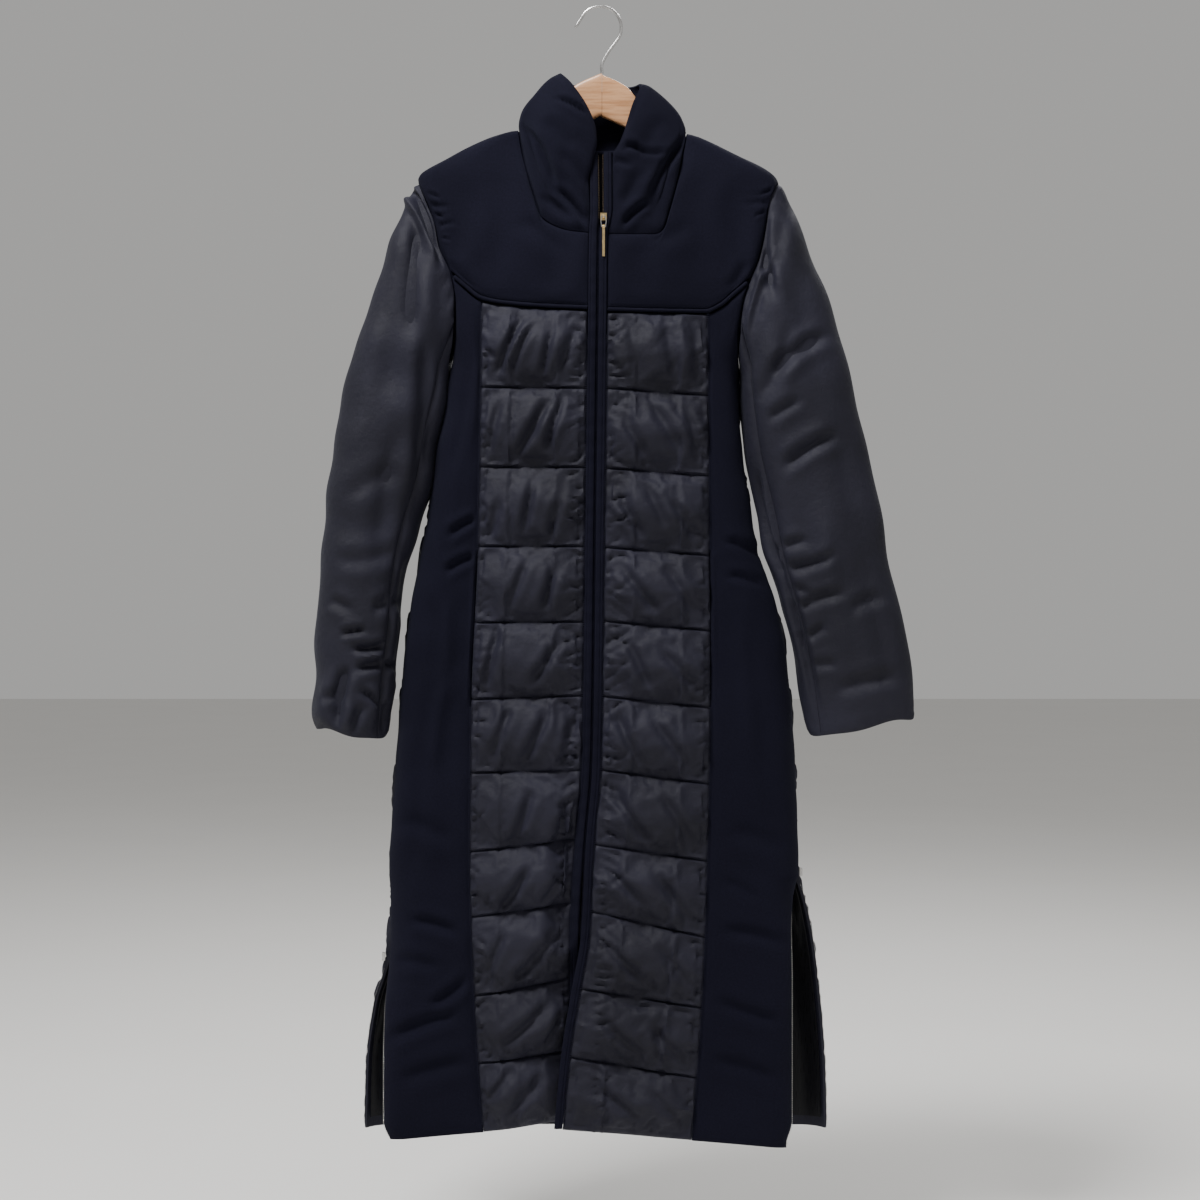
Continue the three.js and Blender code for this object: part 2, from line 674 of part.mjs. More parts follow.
// Solid of a round section along a curve
function cordAlong(name, points, radius, sides, steps, material) {
  const curve = new THREE.CatmullRomCurve3(points);
  const ring = new THREE.Shape().absarc(0, 0, radius, 0, 2 * Math.PI);
  const options = { steps, curveSegments: sides / 2, extrudePath: curve, bevelEnabled: false };
  const mesh = new THREE.Mesh(new THREE.ExtrudeGeometry(ring, options), material());
  mesh.name = name;
  coat.add(mesh);
}

// Corded piping between the yoke and the quilted front
function piping(side) {
  const seam = YOKE_SEAM[side];
  const points = [];
  for (let i = 0; i <= 16; i += 1) {
    const x = lerp(seam[0].x + 2 * SEAM, seam[seam.length - 1].x - 3.5, i / 16);
    const z = cordZ(side, x);
    const [s] = onFront(side, i === 0 ? stripEdge(side, z) + SEAM : x, z);
    const normal = bodyNormal(side, -1, s, z);
    points.push(bodyPoint(side, -1, s, z).addScaledVector(normal, -0.6));
  }
  cordAlong(`piping_${side}`, points, PIPING_R, 8, 20, wool);
}

// Place of the neck seam, from the zip (0) to the middle of the back (1), and the body's normal
function neckSeamAt(side, t) {
  const frontShare = NECK_COLUMNS / COLLAR_COLUMNS;
  const front = t < frontShare;
  const turn = ((t - frontShare) / (1 - frontShare)) * (Math.PI / 2);
  const backX = NECK_POINT[side] * Math.cos(turn);
  const [x, z] = front
    ? along(NECK_SEAM[side], ["x", "z"], t / frontShare)
    : [backX, backNeckZ(side, backX)];
  const face = front ? -1 : 1;
  const s = x < 1 ? 0 : fractionAt(side, face, x, z);
  const point = bodyPoint(side, face, s, z);
  point.z += (front ? 3 : 8) * SEAM;
  point.x -= front ? 3 * SEAM * SIDES[side] : 0;
  return { point, normal: bodyNormal(side, face, s, z) };
}

// Stand collar from the neck seam up to its free edge, open at the zip
function collarPoint(q, v) {
  const side = sideOf(q);
  const t = 1 - Math.abs(q);
  if (t < 1e-6) {
    const z = lerp(NECK_SEAM[side][0].z + 3 * SEAM, TOP_Z, v);
    return bodyPoint(side, -1, fractionAt(side, -1, stripEdge(side, z), z), z);
  }
  const [tx, ty, tz] = along(COLLAR_TOP[side], ["x", "y", "z"], t);
  const top = new THREE.Vector3(SIDES[side] * tx, ty, tz);
  const point = neckSeamAt(side, t).point.lerp(top, v);
  const away = new THREE.Vector3(point.x, point.y, 0).normalize();
  const { at, wide, deep } = COLLAR_CREASE;
  const crease = deep * Math.exp(-(((v - at) / wide) ** 2)) * (1 - smooth(t, 0.4, 0.7));
  const full = COLLAR_FULL * Math.sin(Math.PI * v) * smooth(t, 0, 0.3);
  return point.addScaledVector(away, full - crease * smooth(v, 0, 0.1) * smooth(t, 0, 0.25));
}

function collar() {
  const rows = [0, 0.16, 0.32, 0.55, 0.8, 1];
  const pointAt = (u, j, layer) => {
    const q = 2 * u - 1;
    const k = Math.round(j * (rows.length - 1));
    const v = rows[k];
    const point = collarPoint(q, v);
    if (!layer) return point;
    const atZip = Math.abs(q) === 1;
    const atSeam = neckSeamAt(sideOf(q), 1 - Math.abs(q)).normal;
    const zipNormal = bodyNormal(sideOf(q), -1, 0.1, point.z);
    if (atZip || v === 0) return point.addScaledVector(atZip ? zipNormal : atSeam, -COLLAR_WALL.seam);
    const e = 0.02;
    const across = collarPoint(Math.min(1, q + e), v).sub(collarPoint(Math.max(-1, q - e), v));
    const up = collarPoint(q, Math.min(1, v + e)).sub(collarPoint(q, Math.max(0, v - e)));
    const normal = across.cross(up).normalize();
    if (normal.dot(new THREE.Vector3(point.x, point.y, 0)) < 0) normal.negate();
    const grow = smooth(v, 0, 0.3);
    const deep = lerp(COLLAR_WALL.seam, COLLAR_WALL.middle, grow);
    return point.addScaledVector(normal, -deep);
  };
  wall("collar", 2 * COLLAR_COLUMNS, rows.length - 1, pointAt, wool);
}

// Point of a sleeve: ring 0 is the armhole; angle 0 is the outside, 90 the front, 180 the inside
function armholeLoop(side, degrees) {
  const face = degrees <= 180 ? -1 : 1;
  const share = (degrees <= 180 ? degrees : 360 - degrees) / 180;
  const z = along(ARMHOLE[side], ["x", "z"], share)[1];
  const x = armholeAt(side, z);
  const s = share === 0 || share === 1 ? 1 : fractionAt(side, face, x, z);
  return { point: bodyPoint(side, face, s, z), normal: bodyNormal(side, face, s, z), share };
}

function sleevePoint(side, ring, degrees) {
  const angle = THREE.MathUtils.degToRad(degrees);
  const turned = ((degrees % 360) + 360) % 360;
  const sign = SIDES[side];
  const ellipse = (row) => {
    const outer = new THREE.Vector3(sign * row.xo, row.y, row.zo);
    const inner = new THREE.Vector3(sign * row.xi, row.y, row.zi);
    const centre = outer.clone().add(inner).multiplyScalar(0.5);
    const point = centre.addScaledVector(outer.sub(inner), Math.cos(angle) / 2);
    point.y -= row.half * Math.sin(angle);
    return point;
  };
  if (ring >= 2) {
    const point = ellipse(SLEEVE[side][ring - 2]);
    const last = SLEEVE[side].length + 1;
    if (ring === last) point.z -= CUFF_DROP * Math.sin(angle);
    return point;
  }
  const { point, share } = armholeLoop(side, turned);
  const centre = new THREE.Vector3(sign * SLEEVE_HEART.x, 0, SLEEVE_HEART.z);
  const inward = centre.sub(point).normalize();
  const low = smooth(share, 0.65, 0.9);
  point.addScaledVector(inward, SEAM + 6 * low);
  point.x += sign * (0.1 + 0.5 * (1 - share) ** 2 + 3 * low);
  return ring === 0 ? point : point.lerp(ellipse(SLEEVE[side][0]), 0.5);
}

function sleevePiece(name, side, from, to, columns) {
  const rings = SLEEVE[side].length + 1;
  const pointAt = (u, v, layer) => {
    const degrees = lerp(from, to, u);
    const ring = Math.round(v * rings);
    const point = sleevePoint(side, ring, degrees);
    if (!layer) return point;
    if (ring === 0) {
      const { normal } = armholeLoop(side, ((degrees % 360) + 360) % 360);
      return point.addScaledVector(normal, -SHELL);
    }
    const e = 4;
    const around = sleevePoint(side, ring, degrees + e).sub(sleevePoint(side, ring, degrees - e));
    const next = sleevePoint(side, Math.min(rings, ring + 1), degrees);
    const down = next.sub(sleevePoint(side, ring - 1, degrees));
    const normal = around.cross(down).normalize().multiplyScalar(-SIDES[side]);
    return point.addScaledVector(normal, -SHELL);
  };
  wall(name, columns, rings, pointAt, nylon);
}

// Two-piece sleeve: seams down the inner front and the back
function sleeve(side) {
  const { front, back, gap } = SLEEVE_SEAM;
  sleevePiece(`sleeve_${side}_top`, side, back - 360 + gap, front - gap, SLEEVE_COLUMNS.top);
  sleevePiece(`sleeve_${side}_under`, side, front + gap, back - gap, SLEEVE_COLUMNS.under);
}

// Plate of an outline in x and z, extruded through its thickness along y
function plate(name, shape, thick, place, material, bevel = 0) {
  const bevels = bevel
    ? { bevelEnabled: true, bevelSize: bevel, bevelThickness: bevel, bevelOffset: -bevel, bevelSegments: 1 }
    : { bevelEnabled: false };
  const options = { depth: thick - 2 * bevel, curveSegments: 5, ...bevels };
  const geometry = new THREE.ExtrudeGeometry(shape, options);
  geometry.translate(0, 0, -(thick - 2 * bevel) / 2);
  geometry.rotateX(Math.PI / 2);
  const mesh = new THREE.Mesh(geometry, material());
  mesh.name = name;
  mesh.position.copy(place);
  coat.add(mesh);
  return mesh;
}

function outline(points, shape = new THREE.Shape()) {
  shape.moveTo(...points[0]);
  points.slice(1).forEach((point) => shape.lineTo(...point));
  shape.lineTo(...points[0]);
  return shape;
}

// Height of the shoulder line at a distance from the middle
function ridgeZ(side, x) {
  let [low, high] = [SHOULDER_Z - 4, NECK_POINT.zLeft + 10];
  for (let i = 0; i < 30; i += 1) {
    const z = (low + high) / 2;
    if (lookup(WIDTH, "z", z, side) > x) low = z;
    else high = z;
  }
  return low;
}

// Wooden hanger arm: mitred at the middle, its top just under the shoulder
function hangerArm(side) {
  const sign = SIDES[side];
  const start = sign * HANGER.mitreX + SEAM / 2;
  const stations = [start, 14, 29, 45, 60, 80, 100, 120, 140, 160, 178, HANGER.reach - 4];
  const slopeDrop = CLOTH / Math.cos(Math.PI / 6) + HANGER.drop;
  const topZ = (x) => (x > 80 ? ridgeZ(side, x) - slopeDrop : lookup(ARM_TOP, "x", x, "z"));
  const top = stations.map((x) => [sign * x, topZ(x)]);
  const reach = HANGER.reach;
  const end = [
    [sign * reach, topZ(reach - 4) - 6],
    [sign * reach, lookup(ARM_UNDER, "x", reach, "z") + 5],
  ];
  const under = [...stations].reverse().map((x) => [sign * x, lookup(ARM_UNDER, "x", x, "z")]);
  const shape = outline([...top, ...end, ...under]);
  plate(`hanger_arm_${side}`, shape, HANGER.thick, new THREE.Vector3(), wood, HANGER.bevel);
}

// Wire hook: its stem stands on the arms' peak and its bend hangs on the origin
function hook() {
  const top = ARM_TOP[0].z + WIRE_R + SEAM;
  const centre = { x: 0, z: WIRE_R - HOOK_R };
  const points = [new THREE.Vector3(2.2, 0, ARM_TOP[0].z + SEAM), new THREE.Vector3(2.2, 0, top + 9)];
  points.push(new THREE.Vector3(9, 0, -50));
  for (let i = 0; i <= 9; i += 1) {
    const angle = THREE.MathUtils.degToRad(lerp(-28, 180, i / 9));
    const flare = i === 9 ? 4 : 0;
    const x = centre.x + (HOOK_R + flare) * Math.cos(angle);
    points.push(new THREE.Vector3(x, 0, centre.z + HOOK_R * Math.sin(angle)));
  }
  cordAlong("hanger_hook", points, WIRE_R, 8, 36, steel);
}

// Sweeps an outline in y and z along x; its middle is at the given width's middle
function swept(shape, wide) {
  const geometry = new THREE.ExtrudeGeometry(shape, { depth: wide, curveSegments: 8, bevelEnabled: false });
  geometry.translate(0, 0, -wide / 2);
  return geometry.applyMatrix4(new THREE.Matrix4().set(0, 0, 1, 0, 1, 0, 0, 0, 0, 1, 0, 0, 0, 0, 0, 1));
}

const wasm = await Module();
wasm.setup();

function solidOf(geometry) {
  const bare = geometry.clone();
  bare.deleteAttribute("normal");
  bare.deleteAttribute("uv");
  const merged = mergeVertices(bare);
  const vertProperties = new Float32Array(merged.attributes.position.array);
  const triVerts = new Uint32Array(merged.index.array);
  return new wasm.Manifold(new wasm.Mesh({ numProp: 3, vertProperties, triVerts }));
}

// Zip slider with its bail, the diamond link and the flat bar that hangs from it
function zipPull() {
  const tip = bodyPoint("right", -1, 0.02, PULL.z - PULL.link - PULL.bar).y - STRIP_LIFT;
  const pivot = new THREE.Vector3(PULL.x, tip - 1.5, PULL.z);
  const tall = 10;
  const chain = bodyPoint("right", -1, 0.02, PULL.z - tall / 2).y - STRIP_LIFT - SEAM;
  const plateShape = outline([
    [BAIL.behind, -tall / 2 + 1],
    [BAIL.behind, tall / 2 - 1],
    [chain - pivot.y, tall / 2],
    [chain - pivot.y, -tall / 2],
  ]);
  const bail = new THREE.Shape().absarc(0, 0, BAIL.outer, 0, 2 * Math.PI);
  bail.holes.push(new THREE.Path().absarc(0, 0, BAIL.eye, 0, 2 * Math.PI));
  const joined = solidOf(swept(plateShape, 7)).add(solidOf(swept(bail, BAIL.wide))).getMesh();
  const slider = new THREE.BufferGeometry();
  slider.setAttribute("position", new THREE.BufferAttribute(joined.vertProperties, 3));
  slider.setIndex(new THREE.BufferAttribute(joined.triVerts, 1));
  addPart("zip_slider", slider, pivot, brass);

  const ring = (end, middle, inset) => [
    [-end, LINK.thick / 2 - inset],
    [end, LINK.thick / 2 - inset],
    [middle, -PULL.link / 2],
    [end, -PULL.link - LINK.thick / 2 + inset],
    [-end, -PULL.link - LINK.thick / 2 + inset],
    [-middle, -PULL.link / 2],
  ];
  const link = outline(ring(LINK.end, LINK.middle, 0));
  const inside = ring(LINK.end - LINK.rim, LINK.middle - LINK.rim, LINK.thick).reverse();
  link.holes.push(outline(inside, new THREE.Path()));
  plate("pull_link", link, LINK.thick, pivot, steel);

  const bar = new THREE.Shape();
  const half = PULL.thick / 2;
  const open = Math.asin(half / EYE.outer);
  bar.moveTo(half, -PULL.bar);
  bar.lineTo(half, -EYE.outer * Math.cos(open));
  bar.absarc(0, 0, EYE.outer, -Math.PI / 2 + open, 1.5 * Math.PI - open, false);
  bar.lineTo(-half, -PULL.bar);
  bar.closePath();
  bar.holes.push(new THREE.Path().absarc(0, 0, EYE.hole, 0, 2 * Math.PI));
  const lower = pivot.clone().setZ(PULL.z - PULL.link);
  addPart("pull_bar", swept(bar, PULL.wide), lower, brass);
}

function addPart(name, geometry, place, material) {
  const mesh = new THREE.Mesh(geometry, material());
  mesh.name = name;
  mesh.position.copy(place);
  coat.add(mesh);
}

// Side zip slider just above each slit
function sideSlider(side) {
  const z = SLIT[side] + 8;
  const width = lookup(z > EDGE_Z ? WIDTH : BACK_EDGE, "z", z, side);
  const shape = outline([
    [-1.6, -5],
    [1.6, -4],
    [1.6, 4],
    [-1.6, 5],
  ]);
  const place = new THREE.Vector3(SIDES[side] * (width + 3), -1, z);
  plate(`side_slider_${side}`, shape, 6, place, steel);
}

function build() {
  for (const side of Object.keys(SIDES)) {
    yoke(side);
    quilt(side);
    sidePanel(side);
    placket(side);
    zipTape(side);
    piping(side);
    sleeve(side);
    hangerArm(side);
    sideSlider(side);
  }
  back();
  backLining();
  collar();
  hook();
  zipPull();
}

build();

export default coat;
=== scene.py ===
"""Long puffer coat on a wooden hanger: cloth, quilting, seams, fastenings and finishes.

The maths is in millimetres and the meshes are in metres, +Z up, with the front facing -Y. The origin
is the inside top of the hanger's hook. Left and right are the viewer's.
"""

import bpy
import numpy as np
from bpy.props import FloatProperty, FloatVectorProperty, IntProperty, PointerProperty
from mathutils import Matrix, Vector


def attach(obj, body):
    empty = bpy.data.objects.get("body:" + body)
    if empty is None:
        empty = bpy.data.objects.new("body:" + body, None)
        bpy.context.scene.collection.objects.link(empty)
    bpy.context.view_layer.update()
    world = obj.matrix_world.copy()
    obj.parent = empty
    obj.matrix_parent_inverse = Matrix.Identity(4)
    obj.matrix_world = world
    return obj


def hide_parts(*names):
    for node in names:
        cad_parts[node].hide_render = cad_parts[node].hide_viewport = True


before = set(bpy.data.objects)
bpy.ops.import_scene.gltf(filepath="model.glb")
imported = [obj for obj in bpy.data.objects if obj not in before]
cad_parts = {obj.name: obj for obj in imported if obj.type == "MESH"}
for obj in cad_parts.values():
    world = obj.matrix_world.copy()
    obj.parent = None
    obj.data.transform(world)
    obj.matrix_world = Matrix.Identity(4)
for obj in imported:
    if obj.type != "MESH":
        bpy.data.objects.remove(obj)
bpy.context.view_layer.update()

bl_info = {
    "name": "Long Puffer Coat",
    "version": (1, 0, 0),
    "blender": (4, 5, 0),
    "location": "View3D > Sidebar > Coat",
    "description": "Builds the cloth, quilting, seams, fastenings and hanger of a long puffer coat",
    "category": "Object",
}

MM = 0.001
SIGN = {"left": -1.0, "right": 1.0}
SEAM = 0.3  # gap between neighbouring pieces
SHELL = 4.5  # padded nylon wall
CLOTH = 4.0  # lined wool-like wall
CHANNELS = 11
STRIP = 9.0  # placket strip's width
CORD_ROOM = 3.0  # from the cord's middle to the cloth beside it
QUILT_DEPTH = 1.3  # share of the folds' depth that the quilts get
SLEEVE_DEPTH = 1.5
SETTLE_FROM = 0.86  # share of a channel's height at which its cloth starts to settle
SETTLE_LIMIT = 7.0
BINDING_R = 3.0
BINDING_DEPTH = 8.6
UNDERARM_Z = -405.0
SHOULDER_Z = -196.0
SLIT = {"left": -1070.0, "right": -975.0}
NECK_POINT = {"left": (92.0, -137.0), "right": (98.0, -140.0)}
EDGE_Z = -972.0
CAMERA_AT = (0.0, -2400.0, -663.0)
FOCAL_PX = 2143.0
IMAGE_PX = 1200.0
ORIGIN_PX, PIXEL_MM = 8, 1.12  # the origin's row in the picture, and a pixel's size there
POCKET_PX = (548, 558, 698, 708)  # where the pocket's opening starts and ends, with its soft ends

# Shares of a grid's columns or rows that belong to its first part
NECK_SHARE = 7 / 12  # yoke's top: neck seam, then shoulder
HOLE_SHARE = 5 / 22  # side panel's outer edge: armhole, then side seam
FRONT_SHARE = 7 / 11  # collar: front, then back
QUILTED_SHARE = 30 / 38  # back: quilted, then plain

# Half-width of the body, and of the front and the back by themselves below EDGE_Z: z, left, right
WIDTH = [
    (-110, 30, 30), (-137, 92, 90), (-148, 124, 113), (-170, 168, 158), (-193, 204, 198), (-205, 205, 205),
    (-232, 199, 201), (-271, 194, 197), (-310, 186, 190), (-360, 176, 172), (-405, 168, 157),
    (-440, 171, 156), (-495, 182, 158), (-551, 190, 167), (-607, 199, 175), (-663, 209, 193),
    (-720, 217, 206), (-840, 227, 217), (-972, 234, 222),
]
FRONT_EDGE = [
    (-972, 234, 221), (-1000, 233, 215), (-1050, 234, 213), (-1118, 240, 213), (-1240, 240, 213),
    (-1262, 232, 207),
]
BACK_EDGE = [
    (-972, 234, 223), (-1000, 234, 232), (-1050, 237, 242), (-1118, 256, 250), (-1184, 265, 255),
    (-1262, 267, 257),
]
# Side radius and the extra fullness of the front and back at the middle: z, radius, front, back
DEPTH = [
    (-110, 13, 2, 2), (-150, 15, 6, 3), (-195, 22, 8, 4), (-260, 29, 10, 4), (-340, 33, 10, 4),
    (-700, 35, 8, 3), (-1262, 36, 6, 2),
]
# Inner edge of each placket strip, and the outer quilt seam: z, left, right
CLOSURE = [
    (-166, -2.5, 4), (-232, -1.8, 4.2), (-260, -3.2, -0.6), (-345, -4.2, -1.6), (-604, -7.4, -4.8),
    (-768, -9.4, -6.8), (-850, -11.4, -8.8), (-930, -18.2, -15.6), (-1034, -24, -21.4), (-1090, -24, -31),
    (-1165, -27, -43), (-1262, -30, -52),
]
QUILT_SEAM = [
    (-335, 131, 119), (-604, 135, 121), (-770, 142, 122), (-940, 144, 119), (-1100, 139, 113),
    (-1262, 128, 101),
]
# Quilt lines: height at the zip end and at the outer end
QUILT_LINES = {
    "left": [
        (-344, -337), (-430, -428), (-517, -516), (-604, -604), (-687, -688), (-768, -773), (-850, -854),
        (-927, -941), (-998, -1013), (-1082, -1100), (-1163, -1174), (-1240, -1250),
    ],
    "right": [
        (-347, -350), (-430, -437), (-518, -526), (-605, -614), (-686, -697), (-769, -782), (-850, -866),
        (-932, -951), (-1006, -1035), (-1090, -1113), (-1165, -1190), (-1245, -1259),
    ],
}
# Corded seam under the yoke and neck seam: distance out from the middle, z. Armhole: z, distance out.
YOKE_SEAM = {
    "left": [
        (12, -341), (55, -339), (108, -334), (131, -329), (150, -315), (165, -302),
    ],
    "right": [
        (7, -343), (70, -344), (116, -344), (133, -337), (145, -327), (166, -309),
    ],
}
NECK_SEAM = {
    "left": [
        (12.8, -258), (40, -254), (62, -243), (70, -228), (86, -172), (92, -137),
    ],
    "right": [
        (9, -259), (45, -259), (68, -256), (78, -231), (89, -188), (98, -140),
    ],
}
ARMHOLE = {
    "left": [
        (-196, 204.5), (-226, 191), (-243, 184), (-271, 178), (-302, 165), (-335, 160), (-370, 160),
        (-393, 164), (-405, 168),
    ],
    "right": [
        (-196, 201), (-221, 188), (-248, 184), (-284, 176), (-309, 166), (-340, 157), (-370, 153),
        (-393, 155), (-405, 157),
    ],
}
# Collar's top edge from the zip over the side peak to the middle of the back: out, y, z
COLLAR_TOP = {
    "left": [
        (9, -25, -164), (3, -30, -146), (13, -31, -118), (31, -24, -90), (45, -4, -73), (36, 16, -80),
        (0, 26, -88),
    ],
    "right": [
        (13, -25, -167), (24, -27, -150), (36, -20, -112), (46, -4, -86), (36, 16, -84), (0, 26, -88),
    ],
}
# Sleeve rings: outer x and z, inner x and z, half-depth, middle y
SLEEVE = {
    "left": [
        (224, -240, 171, -424, 46, 0), (244, -300, 174, -448, 49, 0), (266, -366, 183, -490, 49, -1),
        (288, -438, 191, -540, 47, -2), (300, -520, 208, -592, 45, -4), (308, -600, 218, -640, 43, -6),
        (314, -680, 223, -698, 41, -8), (318, -745, 230, -756, 40, -10), (318, -800, 235, -812, 38, -12),
    ],
    "right": [
        (222, -240, 159, -424, 45, 0), (240, -292, 158, -446, 46, 0), (262, -356, 160, -480, 45, -1),
        (282, -430, 165, -516, 42, -2), (300, -512, 178, -568, 38, -3), (316, -590, 190, -624, 34, -5),
        (331, -665, 209, -688, 29, -6), (344, -730, 222, -752, 25, -7), (352, -790, 231, -811, 21, -8),
    ],
}
BACK_COLUMNS = [0, 0.28, 0.54, 0.76, 0.85, 0.93, 1]
BACK_CHANNELS = 10
BACK_HEM = -1258.0
BACK_NECK_Z = -160.0
HEM_ROUND = 10.0
STRIP_TOP = -167.0
STRIP_HEM = {"left": -1238.0, "right": -1243.0}
TAPE_SHARE = 29 / 36
LINING = {"top": -900.0, "bottom": -1246.0, "edge": 0.985, "depth": 6.6}
SLEEVE_SEAM = (140.0, 235.0, 0.25)  # degrees round the sleeve from its outside, and half the gap
SLEEVE_HEART = (185.0, -300.0)  # the armhole's edge is drawn in towards this x and z
ARM_TOP = [(0, -74), (29, -88), (45, -107), (60, -124), (80, -152)]
ARM_UNDER = [(0, -121), (28, -134), (60, -153), (95, -176), (150, -203), (192, -222)]
MITRE_X = 2.2  # where the arms meet and the hook stands
WIRE_R = 1.75
HOOK_R = 23.75

# Creases in the front view, in picture pixels: x0, y0, x1, y1, width, depth in mm, bend.
# A negative depth is a ridge.
SLEEVE_CREASES = {
    "left": [
        (407, 184, 441, 264, 3.6, 6.5, 5), (420, 225, 412, 340, 8, 4, -4), (424, 330, 412, 500, 8, 2.6, 5),
        (398, 250, 372, 420, 14, 2.2, 8), (380, 300, 352, 470, 12, -1.6, 6),
        (404, 420, 380, 560, 10, 2, -6), (345, 500, 400, 470, 9, 1.6, 4), (336, 560, 402, 548, 8, 1.6, -5),
        (341, 634, 366, 630, 3.5, 2.2, 1), (352, 648, 388, 644, 4, 2.8, -2),
        (356, 669, 398, 665, 4.5, 3, 3), (361, 690, 382, 709, 3.5, 2.6, 1),
        (346, 668, 337, 728, 6, 4.5, -3), (360, 706, 352, 732, 4, 2.2, 0), (384, 700, 378, 734, 5, 2.2, 2),
        (372, 610, 402, 600, 6, 2, 2), (330, 600, 352, 612, 5, 1.6, 1), (325, 700, 345, 690, 5, 1.8, 0),
        (406, 540, 396, 700, 6, 1.6, 2),
    ],
    "right": [
        (774, 372, 828, 334, 6, 3, 4), (784, 467, 838, 435, 6, 3, 4), (770, 420, 800, 400, 5, 1.8, 2),
        (757, 474, 785, 579, 3.2, 3.4, -4), (785, 579, 820, 722, 3, 3, 3),
        (776, 553, 808, 540, 4.5, 1.8, 3), (780, 569, 836, 553, 5, 2.2, -4),
        (788, 590, 812, 594, 4, 1.6, 2), (794, 612, 846, 592, 5.5, 2.2, 4),
        (800, 640, 826, 624, 4.5, 1.8, -2), (806, 668, 838, 664, 5, 1.4, 2),
        (762, 210, 776, 300, 5, 3.6, -5), (776, 254, 748, 338, 3, -1.8, -6),
        (800, 250, 826, 400, 14, 2, -8), (838, 420, 872, 560, 13, 1.8, -5),
        (820, 500, 850, 660, 11, -1.6, -4), (862, 560, 890, 700, 10, 1.6, 3),
        (836, 690, 900, 676, 7, 1.8, 2), (850, 610, 886, 596, 6, 1.4, 2), (790, 330, 760, 400, 7, 2, 3),
    ],
}
SIDE_CREASES = {
    "left": [
        (448, 536, 480, 518, 4, 3.2, 2), (445, 572, 478, 556, 4, 3, 2), (446, 598, 445, 680, 7, -2.2, 2),
        (445, 680, 433, 772, 7, -2.4, -2), (410, 920, 458, 934, 5, 2.6, 3), (430, 1006, 468, 978, 5, 3, -2),
        (388, 1040, 458, 1014, 6, 3, 3), (400, 1080, 470, 1062, 7, 2.2, 2), (470, 360, 452, 470, 6, 1.6, 2),
        (400, 820, 452, 842, 8, 1.8, 3), (396, 960, 440, 968, 6, 1.8, 2), (420, 740, 412, 880, 9, 1.8, 2),
    ],
    "right": [
        (724, 540, 760, 556, 4, 2.6, 2), (726, 575, 764, 586, 4, 2.4, 2), (742, 600, 756, 760, 9, -2, -3),
        (722, 930, 790, 946, 6, 2.4, 3), (716, 1000, 782, 1022, 6, 2.6, -2),
        (712, 1060, 778, 1080, 7, 2.4, 2), (730, 830, 786, 850, 8, 1.8, 2),
        (738, 360, 752, 460, 6, 1.8, -2), (724, 880, 760, 900, 5, 1.6, 1), (760, 700, 780, 860, 9, 1.6, -2),
    ],
}
YOKE_CREASES = {
    "left": [
        (428, 194, 440, 199, 1.7, 1.5, 1), (431, 205, 449, 206, 2.4, 1.4, -1),
        (434, 214, 444, 217, 1.6, 1.5, 0), (438, 227, 456, 223, 2.2, 1.2, 1),
        (442, 238, 451, 240, 1.6, 1, 0), (466, 180, 456, 262, 11, 1.8, 4), (500, 160, 494, 280, 15, 1.4, 3),
        (452, 262, 474, 290, 5, 1.6, -2), (560, 236, 552, 296, 13, 1.2, 2), (520, 220, 560, 250, 8, 1.4, 3),
    ],
    "right": [
        (758, 194, 772, 189, 1.7, 1.5, -1), (750, 203, 768, 204, 2.4, 1.4, 1),
        (754, 216, 765, 212, 1.6, 1.2, 0), (736, 180, 742, 262, 11, 1.8, -4),
        (700, 170, 704, 280, 15, 1.4, -3), (746, 262, 728, 290, 5, 1.6, 2),
        (640, 240, 646, 296, 13, 1.2, -2), (690, 224, 652, 240, 8, 1.2, 3),
    ],
}
COLLAR_CREASES = [
    (527, 128, 556, 188, 4, 4.5, 3), (556, 188, 588, 227, 3.6, 4, 2), (687, 136, 648, 202, 4, 4.5, -3),
    (648, 202, 622, 227, 3.6, 3.6, -2), (556, 98, 588, 116, 2.6, 3, 2), (560, 150, 588, 190, 6, 2.2, 2),
    (624, 147, 640, 148, 3.2, 3, 1), (632, 148, 668, 154, 3, 2.6, -2), (612, 160, 632, 166, 3.4, 2.4, 1),
    (640, 170, 622, 205, 6, 2.6, 1), (545, 120, 572, 150, 8, 1.8, 2), (662, 118, 640, 160, 8, 2, -2),
    (540, 196, 575, 222, 4, 1.8, 1), (668, 176, 650, 212, 5, 1.8, -1),
]
